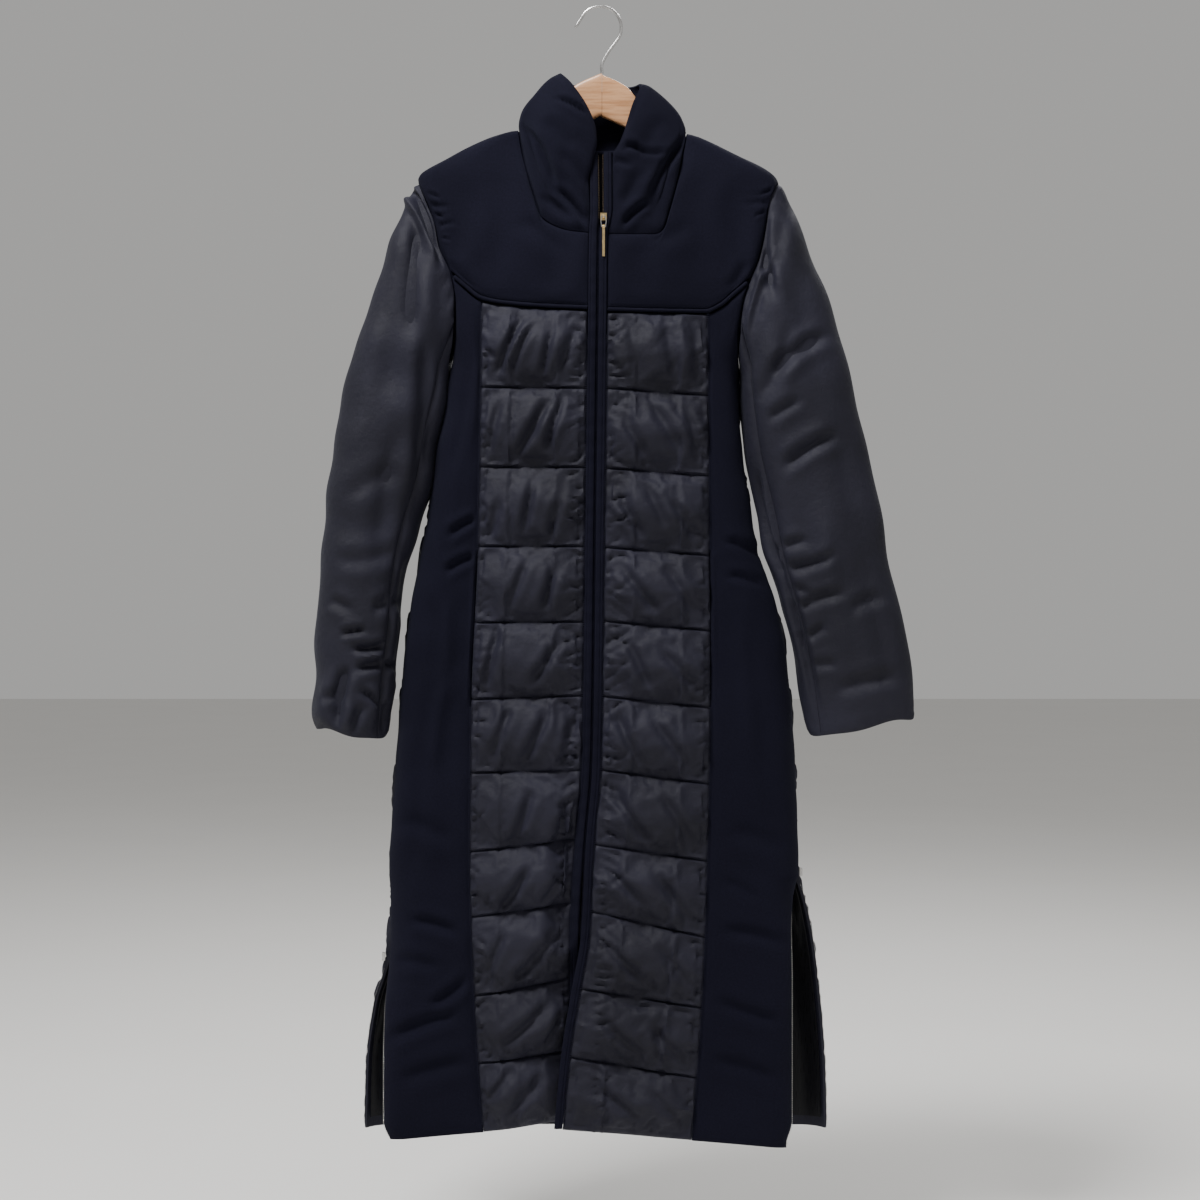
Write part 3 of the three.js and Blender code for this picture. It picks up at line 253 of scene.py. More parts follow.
QUILT_CREASES = {
    "left": [
        (524, 316, 495, 376, 4, 3.2, 1), (534, 326, 512, 372, 3.2, 2.6, -1),
        (552, 330, 540, 380, 3.4, 2.4, 1), (575, 328, 556, 376, 4.2, 2.8, 1),
        (548, 402, 512, 462, 4.4, 3.4, 2), (562, 400, 546, 450, 3.6, 2.8, 0),
        (500, 404, 488, 452, 4, 2.2, 1), (534, 484, 522, 536, 4.2, 3, 1), (560, 496, 548, 540, 4, 2.4, 1),
        (500, 500, 488, 540, 4.4, 2.4, 1), (556, 566, 540, 612, 4.4, 2.8, 1),
        (528, 562, 508, 606, 4, 2.4, 1), (498, 630, 484, 690, 4.4, 3, 1), (560, 640, 530, 684, 4.4, 2.8, 1),
        (548, 712, 520, 766, 4.6, 3, 1), (512, 706, 490, 760, 4.4, 2.4, 1), (574, 716, 560, 764, 4, 2.4, 1),
        (532, 790, 512, 846, 4.4, 2.8, 1), (562, 798, 552, 850, 3.4, 2.6, 0),
        (566, 806, 562, 900, 2.6, -2, 1), (530, 866, 498, 914, 4.6, 3, 1), (556, 870, 536, 910, 4, 2.4, 1),
        (548, 938, 512, 980, 4.6, 3, 1), (506, 930, 486, 974, 4, 2.2, 1), (548, 1000, 500, 1044, 5, 3, 2),
        (560, 1010, 538, 1050, 4, 2.4, 1), (540, 1072, 506, 1112, 5, 2.8, 2),
        (514, 1066, 488, 1100, 4, 2.2, 1),
    ],
    "right": [
        (632, 318, 640, 380, 7, 2.2, -1), (664, 320, 676, 384, 6, 2.2, -1), (692, 330, 698, 384, 5, 1.8, 0),
        (622, 412, 650, 464, 5, 2.8, -1), (650, 402, 680, 452, 5.4, 2.6, -1),
        (684, 410, 700, 462, 4.6, 2.2, 0), (618, 488, 644, 540, 4.4, 3, -1),
        (644, 484, 666, 528, 5, 2.4, 0), (668, 500, 700, 540, 4.6, 2.4, -1),
        (622, 566, 660, 614, 4.8, 3, -1), (664, 566, 694, 612, 4.8, 2.4, -1),
        (628, 640, 650, 688, 4.4, 2.8, 0), (660, 650, 700, 690, 4.8, 2.6, -1),
        (616, 712, 640, 762, 4.4, 3, -1), (650, 716, 690, 768, 5, 2.8, -1),
        (612, 786, 650, 844, 4.6, 3, -1), (660, 792, 694, 846, 4.8, 2.4, -1),
        (608, 868, 650, 906, 4.8, 3, -1), (650, 868, 692, 920, 5, 2.6, -1),
        (604, 940, 646, 984, 4.8, 3, -1), (656, 944, 690, 984, 4.6, 2.2, -1),
        (600, 1016, 640, 1054, 4.8, 2.8, -1), (646, 1020, 684, 1060, 4.6, 2.4, -1),
        (594, 1084, 640, 1116, 4.8, 2.6, -1), (648, 1088, 680, 1120, 4.4, 2, -1),
        (630, 1004, 690, 1012, 4, 2.2, 2),
    ],
}
BACK_CREASES = [
    (470, 180, 520, 260, 12, 1.8, 4), (730, 180, 680, 260, 12, 1.8, -4), (600, 180, 600, 330, 22, 1.2, 0),
    (452, 300, 480, 356, 7, 2.2, 2), (748, 300, 720, 356, 7, 2.2, -2), (540, 200, 556, 330, 14, 1, 3),
    (660, 200, 644, 330, 14, 1, -3), (500, 280, 470, 340, 9, 1.6, 2), (700, 280, 730, 340, 9, 1.6, -2),
]


def smooth(x, low, high):
    """Soft step: zero at low, one at high, three squares less two cubes of the share between them."""
    t = np.clip((np.asarray(x, float) - low) / (high - low), 0, 1)
    return t * t * (3 - 2 * t)


def falling(z, start, end):
    """Soft step that grows from zero at start to one at end, below it."""
    return 1 - smooth(z, end, start)


def mix(a, b, t):
    """Straight blend of a and b."""
    return a + (b - a) * t


def curve(rows, column):
    """Smooth curve through a table's column: cubic pieces, whose inner slopes are the harmonic means of
    the slopes on either side."""
    keys = np.array([row[0] for row in rows], float)
    values = np.array([row[column] for row in rows], float)
    order = np.argsort(keys)
    keys, values = keys[order], values[order]
    step = np.diff(values) / np.diff(keys)
    product = step[:-1] * step[1:]
    total = np.where(product > 0, step[:-1] + step[1:], 1.0)
    inner = np.where(product > 0, 2 * product / total, 0.0)
    slope = np.concatenate([step[:1], inner, step[-1:]])

    def read(x):
        x = np.clip(np.asarray(x, float), keys[0], keys[-1])
        i = np.clip(np.searchsorted(keys, x, side="right") - 1, 0, len(keys) - 2)
        span = keys[i + 1] - keys[i]
        t = (x - keys[i]) / span
        t2, t3 = t * t, t * t * t
        return ((2 * t3 - 3 * t2 + 1) * values[i] + (t3 - 2 * t2 + t) * span * slope[i]
                + (3 * t2 - 2 * t3) * values[i + 1] + (t3 - t2) * span * slope[i + 1])

    return read


COLUMN = {"left": 1, "right": 2}
width_of, front_edge_of, back_edge_of, closure_of, quilt_seam_of = (
    {side: curve(table, COLUMN[side]) for side in SIGN}
    for table in (WIDTH, FRONT_EDGE, BACK_EDGE, CLOSURE, QUILT_SEAM))
radius_of, front_full, back_full = (curve(DEPTH, column) for column in (1, 2, 3))
yoke_seam_of = {side: curve(YOKE_SEAM[side], 1) for side in SIGN}
armhole_of = {side: curve(ARMHOLE[side], 1) for side in SIGN}


def rows_at(points, positions):
    """Points between a grid's rows: a cubic through four neighbouring rows, with slopes half the
    difference of the rows on either side."""
    count = len(points)
    positions = np.clip(positions, 0, count - 1)
    i = np.clip(np.floor(positions).astype(int), 0, count - 2)
    t = (positions - i).reshape((-1,) + (1,) * (points.ndim - 1))
    slopes = np.gradient(points, axis=0)
    a, b, da, db = points[i], points[i + 1], slopes[i], slopes[i + 1]
    t2, t3 = t * t, t * t * t
    return (2 * t3 - 3 * t2 + 1) * a + (t3 - 2 * t2 + t) * da + (3 * t2 - 2 * t3) * b + (t3 - t2) * db


def path_at(points, share):
    """Point at a share of the length of the smooth path through the given points."""
    points = np.array(points, float)
    dense = rows_at(points, np.linspace(0, len(points) - 1, 40 * (len(points) - 1) + 1))
    length = np.concatenate([[0], np.cumsum(np.linalg.norm(np.diff(dense, axis=0), axis=1))])
    at = np.clip(share, 0, 1) * length[-1]
    return np.stack([np.interp(at, length, dense[:, k]) for k in range(points.shape[1])], -1)


def section(side, face, z):
    """Radius, flat part, turn and reach of the body's section, and its fullness in the middle."""
    z = np.asarray(z, float)
    radius = radius_of(z)
    edge = (front_edge_of if face < 0 else back_edge_of)[side](z)
    width = np.where(z > EDGE_Z, width_of[side](z), edge)
    opened = falling(z, SLIT[side] + 30, SLIT[side] - 110)
    turn = (np.pi / 2) * (1 - opened * (0.6 if face < 0 else 0.35))
    flat = width - radius * np.sin(turn)
    crown = (front_full if face < 0 else back_full)(z)
    return radius, flat, turn, flat + radius * turn, crown


def closure_shift(side, x, z):
    """How far the front closure stands back: the right front laps over the left one below the zip."""
    away = SIGN[side] * (x - closure_of[side](z))
    if side == "right":
        return -7 * falling(z, -1020, -1110) * (1 - smooth(away, 0, 90))
    hollow = 13 * falling(z, -850, -930) * smooth(away, 0, 17) * (1 - smooth(away, 20, 46))
    lapped = 15 * falling(z, -1030, -1075) * (1 - smooth(away, 8, 80))
    return np.maximum(hollow * (1 - falling(z, -1034, -1075)), lapped)


def body_point(side, face, s, z):
    """Point on the body: flat across to the side, then round a circle, with a cosine swell in the middle."""
    s, z = np.broadcast_arrays(np.asarray(s, float), np.asarray(z, float))
    radius, flat, _, reach, crown = section(side, face, z)
    arc = s * reach
    bulge = crown * (0.5 + 0.5 * np.cos(np.pi * np.clip(arc / flat, 0, 1)))
    angle = np.maximum(0, arc - flat) / radius
    x = SIGN[side] * (np.minimum(arc, flat) + radius * np.sin(angle))
    y = face * (radius * np.cos(angle) + bulge)
    if face < 0:
        y = y + closure_shift(side, x, z)
    return np.stack([x, y, z], -1)


def body_normal(side, face, s, z):
    """Outward direction there: the cross product of small steps across and down."""
    across = body_point(side, face, s + 0.004, z) - body_point(side, face, s - 0.004, z)
    down = body_point(side, face, s, z - 2) - body_point(side, face, s, z + 2)
    return SIGN[side] * face * unit(np.cross(across, down))


def unit(vectors):
    """Vectors brought to length one."""
    return vectors / np.maximum(np.linalg.norm(vectors, axis=-1, keepdims=True), 1e-9)


def fraction_at(side, face, x, z):
    """Share of the way round the section at which the front view shows the outward distance x."""
    radius, flat, turn, reach, _ = section(side, face, z)
    bend = np.minimum(turn, np.arcsin(np.clip((x - flat) / radius, 0, 1)))
    return np.where(x <= flat, x / reach, np.minimum(1, (flat + radius * bend) / reach))


def strip_edge(side, z):
    """Outward distance of the placket strip's outer seam."""
    return SIGN[side] * closure_of[side](z) + STRIP + 2 * SEAM


def cord_z(side, x, shift=0.0):
    """Height of the corded seam at x, moved square to the seam by shift."""
    slope = (yoke_seam_of[side](x + 1) - yoke_seam_of[side](x - 1)) / 2
    return yoke_seam_of[side](x) + shift * np.hypot(1, slope)


def patch(bottom, top, left, right, u, v):
    """Four-sided patch: straight lines from bottom to top, moved onto the side edges by cubes of the
    distance from the other side."""
    line = lambda t: mix(bottom(t)[None], top(t)[None], v[:, None, None])
    pull_left = ((1 - u) ** 3)[None, :, None] * (left(v)[:, None] - line(np.zeros(1)))
    pull_right = (u ** 3)[None, :, None] * (right(v)[:, None] - line(np.ones(1)))
    return line(u) + pull_left + pull_right


def on_front(side, x, z):
    """Share round the front, and the height, of a place given by its outward distance."""
    return np.stack([fraction_at(side, -1, x, z), z + 0 * x], -1)


def row_of(z):
    """Picture's row of a height at the origin's depth."""
    return ORIGIN_PX - z / PIXEL_MM


def picture(points):
    """Picture pixels of points: the camera's perspective division by the distance from it."""
    away = points[..., 1] - CAMERA_AT[1]
    half = IMAGE_PX / 2
    return (half + FOCAL_PX * points[..., 0] / away,
            half - FOCAL_PX * (points[..., 2] - CAMERA_AT[2]) / away)


def creases(points, strokes):
    """Height of soft folds drawn in the front view. Across a stroke it is a bell-shaped trough between
    two lower ridges, and along it the fold fades at both ends."""
    px, py = picture(points)
    height = np.zeros(px.shape)
    for x0, y0, x1, y1, wide, deep, bend in strokes:
        dx, dy = x1 - x0, y1 - y0
        length = np.hypot(dx, dy)
        t = ((px - x0) * dx + (py - y0) * dy) / length ** 2
        held = np.clip(t, 0, 1)
        across = ((px - x0) * dy - (py - y0) * dx) / length - 4 * bend * held * (1 - held)
        fade = smooth(t, -0.1, 0.25) * (1 - smooth(t, 0.7, 1.1))
        fold = np.exp(-(across / wide) ** 2)
        for shoulder in (-2.0, 2.0):
            fold = fold - 0.38 * np.exp(-((across - shoulder * wide) / (1.2 * wide)) ** 2)
        height -= deep * fade * fold
    return height


def uneven(points, seed, size, amount, waves=7):
    """Broad unevenness: the mean of sine waves in seeded directions, with lengths about the given size."""
    rng = np.random.default_rng(seed)
    height = np.zeros(points.shape[:-1])
    for _ in range(waves):
        direction = rng.normal(size=3) * (1.0, 0.6, 1.0)
        pitch = size * rng.uniform(0.6, 1.6)
        phase = rng.uniform(0, 2 * np.pi)
        height += np.sin(points @ (direction / np.linalg.norm(direction)) * 2 * np.pi / pitch + phase)
    return amount * height / np.sqrt(waves)


def puckers(start, end, spacing, length, lean, deep, seed):
    """Short uneven creases that leave a seam between two picture points, on one side of it."""
    rng = np.random.default_rng(seed)
    start, end = np.array(start, float), np.array(end, float)
    run = end - start
    reach = np.linalg.norm(run)
    along = run / reach
    out = np.array([along[1], -along[0]]) * np.sign(lean)
    strokes = []
    at = rng.uniform(0, spacing)
    while at < reach:
        long = length * rng.uniform(0.3, 1.5)
        tilt = rng.uniform(-0.9, 0.9)
        a = start + along * at - out
        b = a + out * long + along * tilt * long
        strokes.append((*a, *b, rng.uniform(1.5, 2.6), deep * rng.uniform(0.5, 1.2), rng.uniform(-1.5, 1.5)))
        at += spacing * rng.uniform(0.6, 1.5)
    return strokes


def spacing_of(grid):
    """Distance of each grid point from the grid's four edges, along the surface: columns, then rows."""
    across = np.cumsum(np.linalg.norm(np.diff(grid, axis=1, prepend=grid[:, :1]), axis=-1), axis=1)
    down = np.cumsum(np.linalg.norm(np.diff(grid, axis=0, prepend=grid[:1]), axis=-1), axis=0)
    return across, across[:, -1:] - across, down, down[-1:] - down


def inside_of(grid):
    """Distance of each grid point from the nearest edge of the grid."""
    return np.minimum.reduce(spacing_of(grid))


def rolled(grid, deep=1.1, wide=2.2):
    """How far the cloth turns under beside its seams: it falls off with the distance from each edge."""
    return -deep * np.exp(-(inside_of(grid) / wide) ** 2)


def normals_of(grid, outward):
    """Direction square to a grid, turned to the side that outward points to."""
    normal = unit(np.cross(np.gradient(grid, axis=1), np.gradient(grid, axis=0)))
    return normal * np.sign(np.sum(normal * outward, -1).mean())


def quads_of(rows, columns, offset=0):
    """Quads of a grid of points that is stored row by row."""
    i = np.arange(rows * columns).reshape(rows, columns) + offset
    return np.stack([i[:-1, :-1], i[:-1, 1:], i[1:, 1:], i[1:, :-1]], -1).reshape(-1, 4)


def add_piece(name, points, quads, uv, finish, slot=None, stands_in=True, sharp=0.9):
    """Puts points, in millimetres, and quads into a smooth mesh on the coat's body. It stands in for the
    frame's node of the same name, or is a piece of the scene's own."""
    a, b, c, d = (points[quads[:, k]] for k in range(4))
    volume = np.sum(a * np.cross(b, c)) + np.sum(a * np.cross(c, d))
    if volume < 0:
        quads = quads[:, ::-1]
    mesh = bpy.data.meshes.new(name)
    mesh.vertices.add(len(points))
    mesh.vertices.foreach_set("co", (points * MM).astype(np.float32).ravel())
    mesh.loops.add(quads.size)
    mesh.loops.foreach_set("vertex_index", quads.astype(np.int32).ravel())
    mesh.polygons.add(len(quads))
    mesh.polygons.foreach_set("loop_start", np.arange(0, quads.size, 4, dtype=np.int32))
    mesh.update(calc_edges=True)
    mesh.validate()
    layer = mesh.uv_layers.new(name="UVMap")
    corners = np.zeros(len(mesh.loops), np.int32)
    mesh.loops.foreach_get("vertex_index", corners)
    layer.data.foreach_set("uv", (uv[corners] * MM).astype(np.float32).ravel())
    mesh.polygons.foreach_set("use_smooth", np.ones(len(mesh.polygons), bool))
    mesh.set_sharp_from_angle(angle=sharp)
    mesh.update()
    piece = bpy.data.objects.new(name, mesh)
    bpy.context.scene.collection.objects.link(piece)
    mesh.materials.append(FINISHES[finish])
    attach(piece, "coat")
    if stands_in:
        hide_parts(name)
    return piece


def add_wall(name, outer, inner, uv, finish):
    """Closed wall between an outer and an inner grid, joined round their four edges."""
    rows, columns = outer.shape[:2]
    count = rows * columns
    i = np.arange(count).reshape(rows, columns)
    loop = np.concatenate([i[0, :-1], i[:-1, -1], i[-1, :0:-1], i[:0:-1, 0]])
    after = np.roll(loop, -1)
    rim = np.stack([after, loop, loop + count, after + count], -1)
    quads = np.concatenate([quads_of(rows, columns), quads_of(rows, columns, count)[:, ::-1], rim])
    points = np.concatenate([outer.reshape(-1, 3), inner.reshape(-1, 3)])
    uv = np.tile(uv.reshape(-1, 2), (2, 1))
    return add_piece(name, points, quads, uv, finish)


def skin_of(count, sides):
    """Quads of a row of rings, with each end closed onto a pole; the two poles come after the rings."""
    i = np.arange(count * sides).reshape(count, sides)
    j = np.roll(i, -1, axis=1)
    skin = np.stack([i[:-1], j[:-1], j[1:], i[1:]], -1).reshape(-1, 4)
    even = np.arange(0, sides, 2)
    after = (even + 2) % sides
    start = np.stack([np.full(len(even), i.size), i[0, after], i[0, even + 1], i[0, even]], -1)
    end = np.stack([np.full(len(even), i.size + 1), i[-1, even], i[-1, even + 1], i[-1, after]], -1)
    return np.concatenate([skin, start, end])


def add_tube(name, rings, finish, **settings):
    """Closed skin over a row of rings, each end closed by a pole in the ring's middle."""
    count, sides = rings.shape[:2]
    points = np.concatenate([rings.reshape(-1, 3), rings[:1].mean(1), rings[-1:].mean(1)])
    lengths = np.concatenate([[0], np.cumsum(np.linalg.norm(np.diff(rings.mean(1), axis=0), axis=1))])
    round_share = np.arange(sides) / sides * 2 * np.pi * 2
    uv = np.stack(np.broadcast_arrays(round_share[None], lengths[:, None]), -1).reshape(-1, 2)
    uv = np.concatenate([uv, [[0, lengths[0]], [0, lengths[-1]]]])
    return add_piece(name, points, skin_of(count, sides), uv, finish, **settings)


def rings_along(path, radius, sides):
    """Circles square to a path. Each ring's first direction is carried along the path without twist."""
    path = np.asarray(path, float)
    tangent = unit(np.gradient(path, axis=0))
    across = np.zeros_like(path)
    current = np.cross(tangent[0], (0.3, 0.9, 0.2))
    for k, direction in enumerate(tangent):
        current = current - direction * (current @ direction)
        current = current / np.linalg.norm(current)
        across[k] = current
    other = np.cross(tangent, across)
    angle = np.arange(sides) / sides * 2 * np.pi
    radius = np.broadcast_to(radius, len(path))[:, None, None]
    circle = np.cos(angle)[None, :, None] * across[:, None] + np.sin(angle)[None, :, None] * other[:, None]
    return path[:, None] + radius * circle


def add_seeds(name, centres, long_ways, wide_ways, size, finish, slot):
    """Many small bean shapes. Each is a ball of six sides and three rings, stretched along its own
    long direction and flattened along its own short one."""
    long_ways, wide_ways = unit(long_ways), unit(wide_ways)
    high_ways = np.cross(long_ways, wide_ways)
    sides = 6
    lift = np.array([-0.8, 0.0, 0.8])
    ring = np.arange(sides) / sides * 2 * np.pi
    ball = [[(np.sqrt(1 - h * h) * np.cos(t), np.sqrt(1 - h * h) * np.sin(t), h) for t in ring] for h in lift]
    ball = np.concatenate([np.array(ball).reshape(-1, 3), [[0, 0, -1.0], [0, 0, 1.0]]])
    ball = ball * np.array(size)[None] / 2
    wide, high, long = (ball[None, :, k:k + 1] for k in range(3))
    points = (centres[:, None] + long * long_ways[:, None] + wide * wide_ways[:, None]
              + high * high_ways[:, None])
    one = skin_of(len(lift), sides)
    quads = (one[None] + (np.arange(len(centres)) * len(ball))[:, None, None]).reshape(-1, 4)
    points = points.reshape(-1, 3)
    return add_piece(name, points, quads, points[:, [0, 2]], finish, slot, stands_in=False, sharp=1.2)


def settle(grid, held, grow, pressure, limit, frames=22):
    """Lets cloth find its own small folds. The grid is a cloth that is held at its seams, is cut larger
    than the space between them by the share grow, and is filled from inside. No point moves further
    than the limit."""
    rows, columns = grid.shape[:2]
    scene = bpy.context.scene
    scene.frame_set(1)
    mesh = bpy.data.meshes.new("cloth")
    mesh.from_pydata((grid.reshape(-1, 3) * MM).tolist(), [], quads_of(rows, columns).tolist())
    cloth = bpy.data.objects.new("cloth", mesh)
    scene.collection.objects.link(cloth)
    group = cloth.vertex_groups.new(name="held")
    for level in np.unique(held[held > 0]):
        group.add(np.nonzero(held.ravel() == level)[0].tolist(), float(level), "REPLACE")
    modifier = cloth.modifiers.new("cloth", "CLOTH")
    settings = modifier.settings
    settings.quality = 6
    settings.mass = 0.12
    settings.tension_stiffness = settings.compression_stiffness = 12
    settings.shear_stiffness = 4
    settings.bending_stiffness = 0.12
    settings.air_damping = 4
    settings.vertex_group_mass = "held"
    settings.shrink_min = -grow
    settings.use_pressure = True
    settings.uniform_pressure_force = pressure
    settings.effector_weights.gravity = 0
    modifier.collision_settings.use_collision = False
    modifier.point_cache.frame_start = 1
    modifier.point_cache.frame_end = frames
    for number in range(1, frames + 1):
        scene.frame_set(number)
    evaluated = cloth.evaluated_get(bpy.context.evaluated_depsgraph_get())
    found = np.zeros(grid.size, np.float32)
    evaluated.data.vertices.foreach_get("co", found)
    bpy.data.objects.remove(cloth)
    bpy.data.meshes.remove(mesh)
    scene.frame_set(1)
    move = found.reshape(grid.shape).astype(float) / MM - grid
    size = np.linalg.norm(move, axis=-1, keepdims=True)
    return grid + move * np.minimum(1, limit / np.maximum(size, 1e-9))


# Materials


def add_node(tree, kind, inputs=None, **settings):
    """Adds a shader node, sets its fields, and sets or links its inputs."""
    made = tree.nodes.new(kind)
    for key, value in settings.items():
        setattr(made, key, value)
    for key, value in (inputs or {}).items():
        if isinstance(value, bpy.types.NodeSocket):
            tree.links.new(value, made.inputs[key])
        else:
            made.inputs[key].default_value = value
    return made


FINISHES = {}


def shades(colour, *levels):
    """The colour made darker or lighter by each level, with full opacity."""
    return [tuple(level * c for c in colour) + (1,) for level in levels]


def new_surface(name, **sockets):
    """A material with a Principled shader, whose plain values are set on its own sockets."""
    material = bpy.data.materials.new(f"coat_{name}")
    FINISHES[name] = material
    material.use_nodes = True
    tree = material.node_tree
    tree.nodes.clear()
    shader = add_node(tree, "ShaderNodeBsdfPrincipled", sockets)
    add_node(tree, "ShaderNodeOutputMaterial", {"Surface": shader.outputs[0]})
    return tree, shader


def ranged(tree, value, low, high, out_low, out_high):
    """Value brought from one range to another."""
    inputs = {0: value, 1: low, 2: high, 3: out_low, 4: out_high}
    return add_node(tree, "ShaderNodeMapRange", inputs).outputs[0]


def blended(tree, share, a, b):
    """Colour between two colours."""
    return add_node(tree, "ShaderNodeMix", {0: share, 6: a, 7: b}, data_type="RGBA").outputs[2]


def noise(tree, where, scale, detail=3.0, roughness=0.55):
    """Noise pattern's value at the given coordinates."""
    return add_node(tree, "ShaderNodeTexNoise",
                    {"Vector": where, "Scale": scale, "Detail": detail, "Roughness": roughness}).outputs[0]


def wave(tree, where, scale, turn, distortion=0.0):
    """Sine stripes across the given coordinates, turned by an angle."""
    turned = add_node(tree, "ShaderNodeMapping", {"Vector": where, "Rotation": (0, 0, turn)}).outputs[0]
    return add_node(tree, "ShaderNodeTexWave", {"Vector": turned, "Scale": scale, "Distortion": distortion,
                                                "Detail": 1.0}, wave_profile="SIN").outputs[0]


def combined(tree, operation, a, b):
    """Sum, product or other combination of two values."""
    return add_node(tree, "ShaderNodeMath", {0: a, 1: b}, operation=operation).outputs[0]


def coordinates_of(tree):
    """The surface's pattern coordinates and the place on the object."""
    outputs = add_node(tree, "ShaderNodeTexCoord").outputs
    return outputs["UV"], outputs["Object"]


def stretched(tree, where, scale):
    """Coordinates scaled by a share of their own along each axis."""
    return add_node(tree, "ShaderNodeMapping", {"Vector": where, "Scale": scale}).outputs[0]


def bumped(tree, height, strength, distance, **under):
    """Normal that a height pattern tilts."""
    inputs = {"Height": height, "Strength": strength, "Distance": distance, **under}
    return add_node(tree, "ShaderNodeBump", inputs).outputs[0]


def multiplied(tree, a, b):
    """Product of two colours."""
    return add_node(tree, "ShaderNodeMix", {0: 1.0, 6: a, 7: b}, data_type="RGBA",
                    blend_type="MULTIPLY").outputs[2]


def link_surface(tree, shader, colour, roughness, normal=None):
    """Links a surface's patterns to its shader."""
    tree.links.new(colour, shader.inputs["Base Color"])
    tree.links.new(roughness, shader.inputs["Roughness"])
    if normal:
        tree.links.new(normal, shader.inputs["Normal"])


def nylon_surface(settings):
    """Charcoal nylon: a fine plain weave, faint crumple, and patches of painted sheen, where the base colour
    is blended between darker and lighter copies of the nylon colour.
    """
    tree, shader = new_surface("nylon", **{"Specular IOR Level": 0.21, "Sheen Weight": 0.03,
                                           "Sheen Roughness": 0.4, "Sheen Tint": (0.7, 0.75, 0.9, 1)})
    uv, place = coordinates_of(tree)
    weave = combined(tree, "ADD", wave(tree, uv, 700, 0), wave(tree, uv, 700, np.pi / 2))
    patches = noise(tree, place, 9, 4)
    crumple = noise(tree, place, 120, 5, 0.6)
    # Painted sheen: darker and lighter copies of the nylon colour, blended by the broad patches.
    dark, light = shades(settings.nylon, 0.78, 1.2)
    cloth = blended(tree, ranged(tree, patches, 0.35, 0.65, 0, 1), dark, light)
    threads = ranged(tree, weave, 0, 2, 0.9, 1.08)
    fine = bumped(tree, weave, 0.35, 0.00015)
    link_surface(tree, shader, multiplied(tree, cloth, threads), ranged(tree, crumple, 0.3, 0.7, 0.52, 0.68),
                 bumped(tree, crumple, 0.6, 0.0014, Normal=fine))


def wool_surface(settings):
    """Navy wool-like twill: diagonal ribs, a fine nap and small flecks of lighter fibre."""
    tree, shader = new_surface("wool", **{"Specular IOR Level": 0.06, "Sheen Weight": 0.02,
                                          "Sheen Roughness": 0.6, "Sheen Tint": (0.55, 0.6, 0.9, 1)})
    uv, place = coordinates_of(tree)
    twill = wave(tree, uv, 330, 0.95, 0.6)
    nap = noise(tree, uv, 1800, 3, 0.7)
    fleck = noise(tree, uv, 420, 4, 0.7)
    broad = noise(tree, place, 6, 3)
    dark, light = shades(settings.wool, 0.7, 1.5)
    ribs, flecks = ranged(tree, twill, 0, 1, -0.15, 0.3), ranged(tree, fleck, 0.3, 0.75, 0, 0.7)
    share = combined(tree, "ADD", ribs, flecks)
    base = blended(tree, share, dark, light)
    shade = ranged(tree, broad, 0.3, 0.7, 0.88, 1.12)
    height = combined(tree, "ADD", twill, combined(tree, "MULTIPLY", nap, 0.8))
    link_surface(tree, shader, multiplied(tree, base, shade), ranged(tree, nap, 0.2, 0.8, 0.82, 1.0),
                 bumped(tree, height, 0.7, 0.0003))


def satin_surface(settings):
    """Black lining satin: long streaks across the folds, painted into its colour as sheen and also varying
    its roughness and bump, and a soft shine.
    """
    tree, shader = new_surface("satin", **{"Specular IOR Level": 0.12})
    uv, _ = coordinates_of(tree)
    streak = noise(tree, stretched(tree, uv, (900, 60, 1)), 1.0, 2)
    # Painted sheen: the streaks blend a darker and a lighter copy of the satin colour.
    dark, light = shades(settings.satin, 0.7, 1.6)
    link_surface(tree, shader, blended(tree, streak, dark, light), ranged(tree, streak, 0.3, 0.7, 0.24, 0.38),
                 bumped(tree, streak, 0.3, 0.0002))


def wood_surface(settings):
    """Pale beech: grain lines along the arm, short flecks and a thin satin varnish."""
    tree, shader = new_surface("wood", **{"Coat Weight": 0.25, "Coat Roughness": 0.3})
    _, place = coordinates_of(tree)
    grain = noise(tree, stretched(tree, place, (26, 160, 260)), 1.0, 5, 0.6)
    fleck = noise(tree, stretched(tree, place, (250, 900, 1600)), 1.0, 2, 0.5)
    pale = tuple(settings.wood) + (1,)
    deep = tuple(c * k for c, k in zip(settings.wood, (0.72, 0.62, 0.5))) + (1,)
    lines = blended(tree, ranged(tree, grain, 0.42, 0.62, 0, 1), pale, deep)
    flecked = blended(tree, ranged(tree, fleck, 0.62, 0.75, 0, 0.4), lines, deep)
    link_surface(tree, shader, flecked, ranged(tree, grain, 0.3, 0.7, 0.36, 0.52),
                 bumped(tree, grain, 0.25, 0.0003))


def metal_surface(name, colour, low, high):
    """Plated metal: fine scratches in its roughness and small dull patches where it is handled."""
    tree, shader = new_surface(name, Metallic=1.0)
    _, place = coordinates_of(tree)
    scratch = noise(tree, stretched(tree, place, (900, 900, 160)), 1.0, 4, 0.7)
    worn = noise(tree, place, 260, 3)
    clean, dull = shades(colour, 1.0, 0.7)
    link_surface(tree, shader, blended(tree, ranged(tree, worn, 0.4, 0.65, 0, 0.6), clean, dull),
                 ranged(tree, scratch, 0.3, 0.7, low, high), bumped(tree, scratch, 0.15, 0.00008))


def thread_surface(settings):
    """Sewing thread: dark navy with a twist along it."""
    tree, shader = new_surface("thread", **{"Specular IOR Level": 0.15})
    _, place = coordinates_of(tree)
    twist = wave(tree, place, 900, 0.6)
    dark, light = shades(settings.wool, 1.2, 3.0)
    link_surface(tree, shader, blended(tree, twist, dark, light), ranged(tree, twist, 0, 1, 0.5, 0.7),
                 bumped(tree, twist, 0.4, 0.0001))


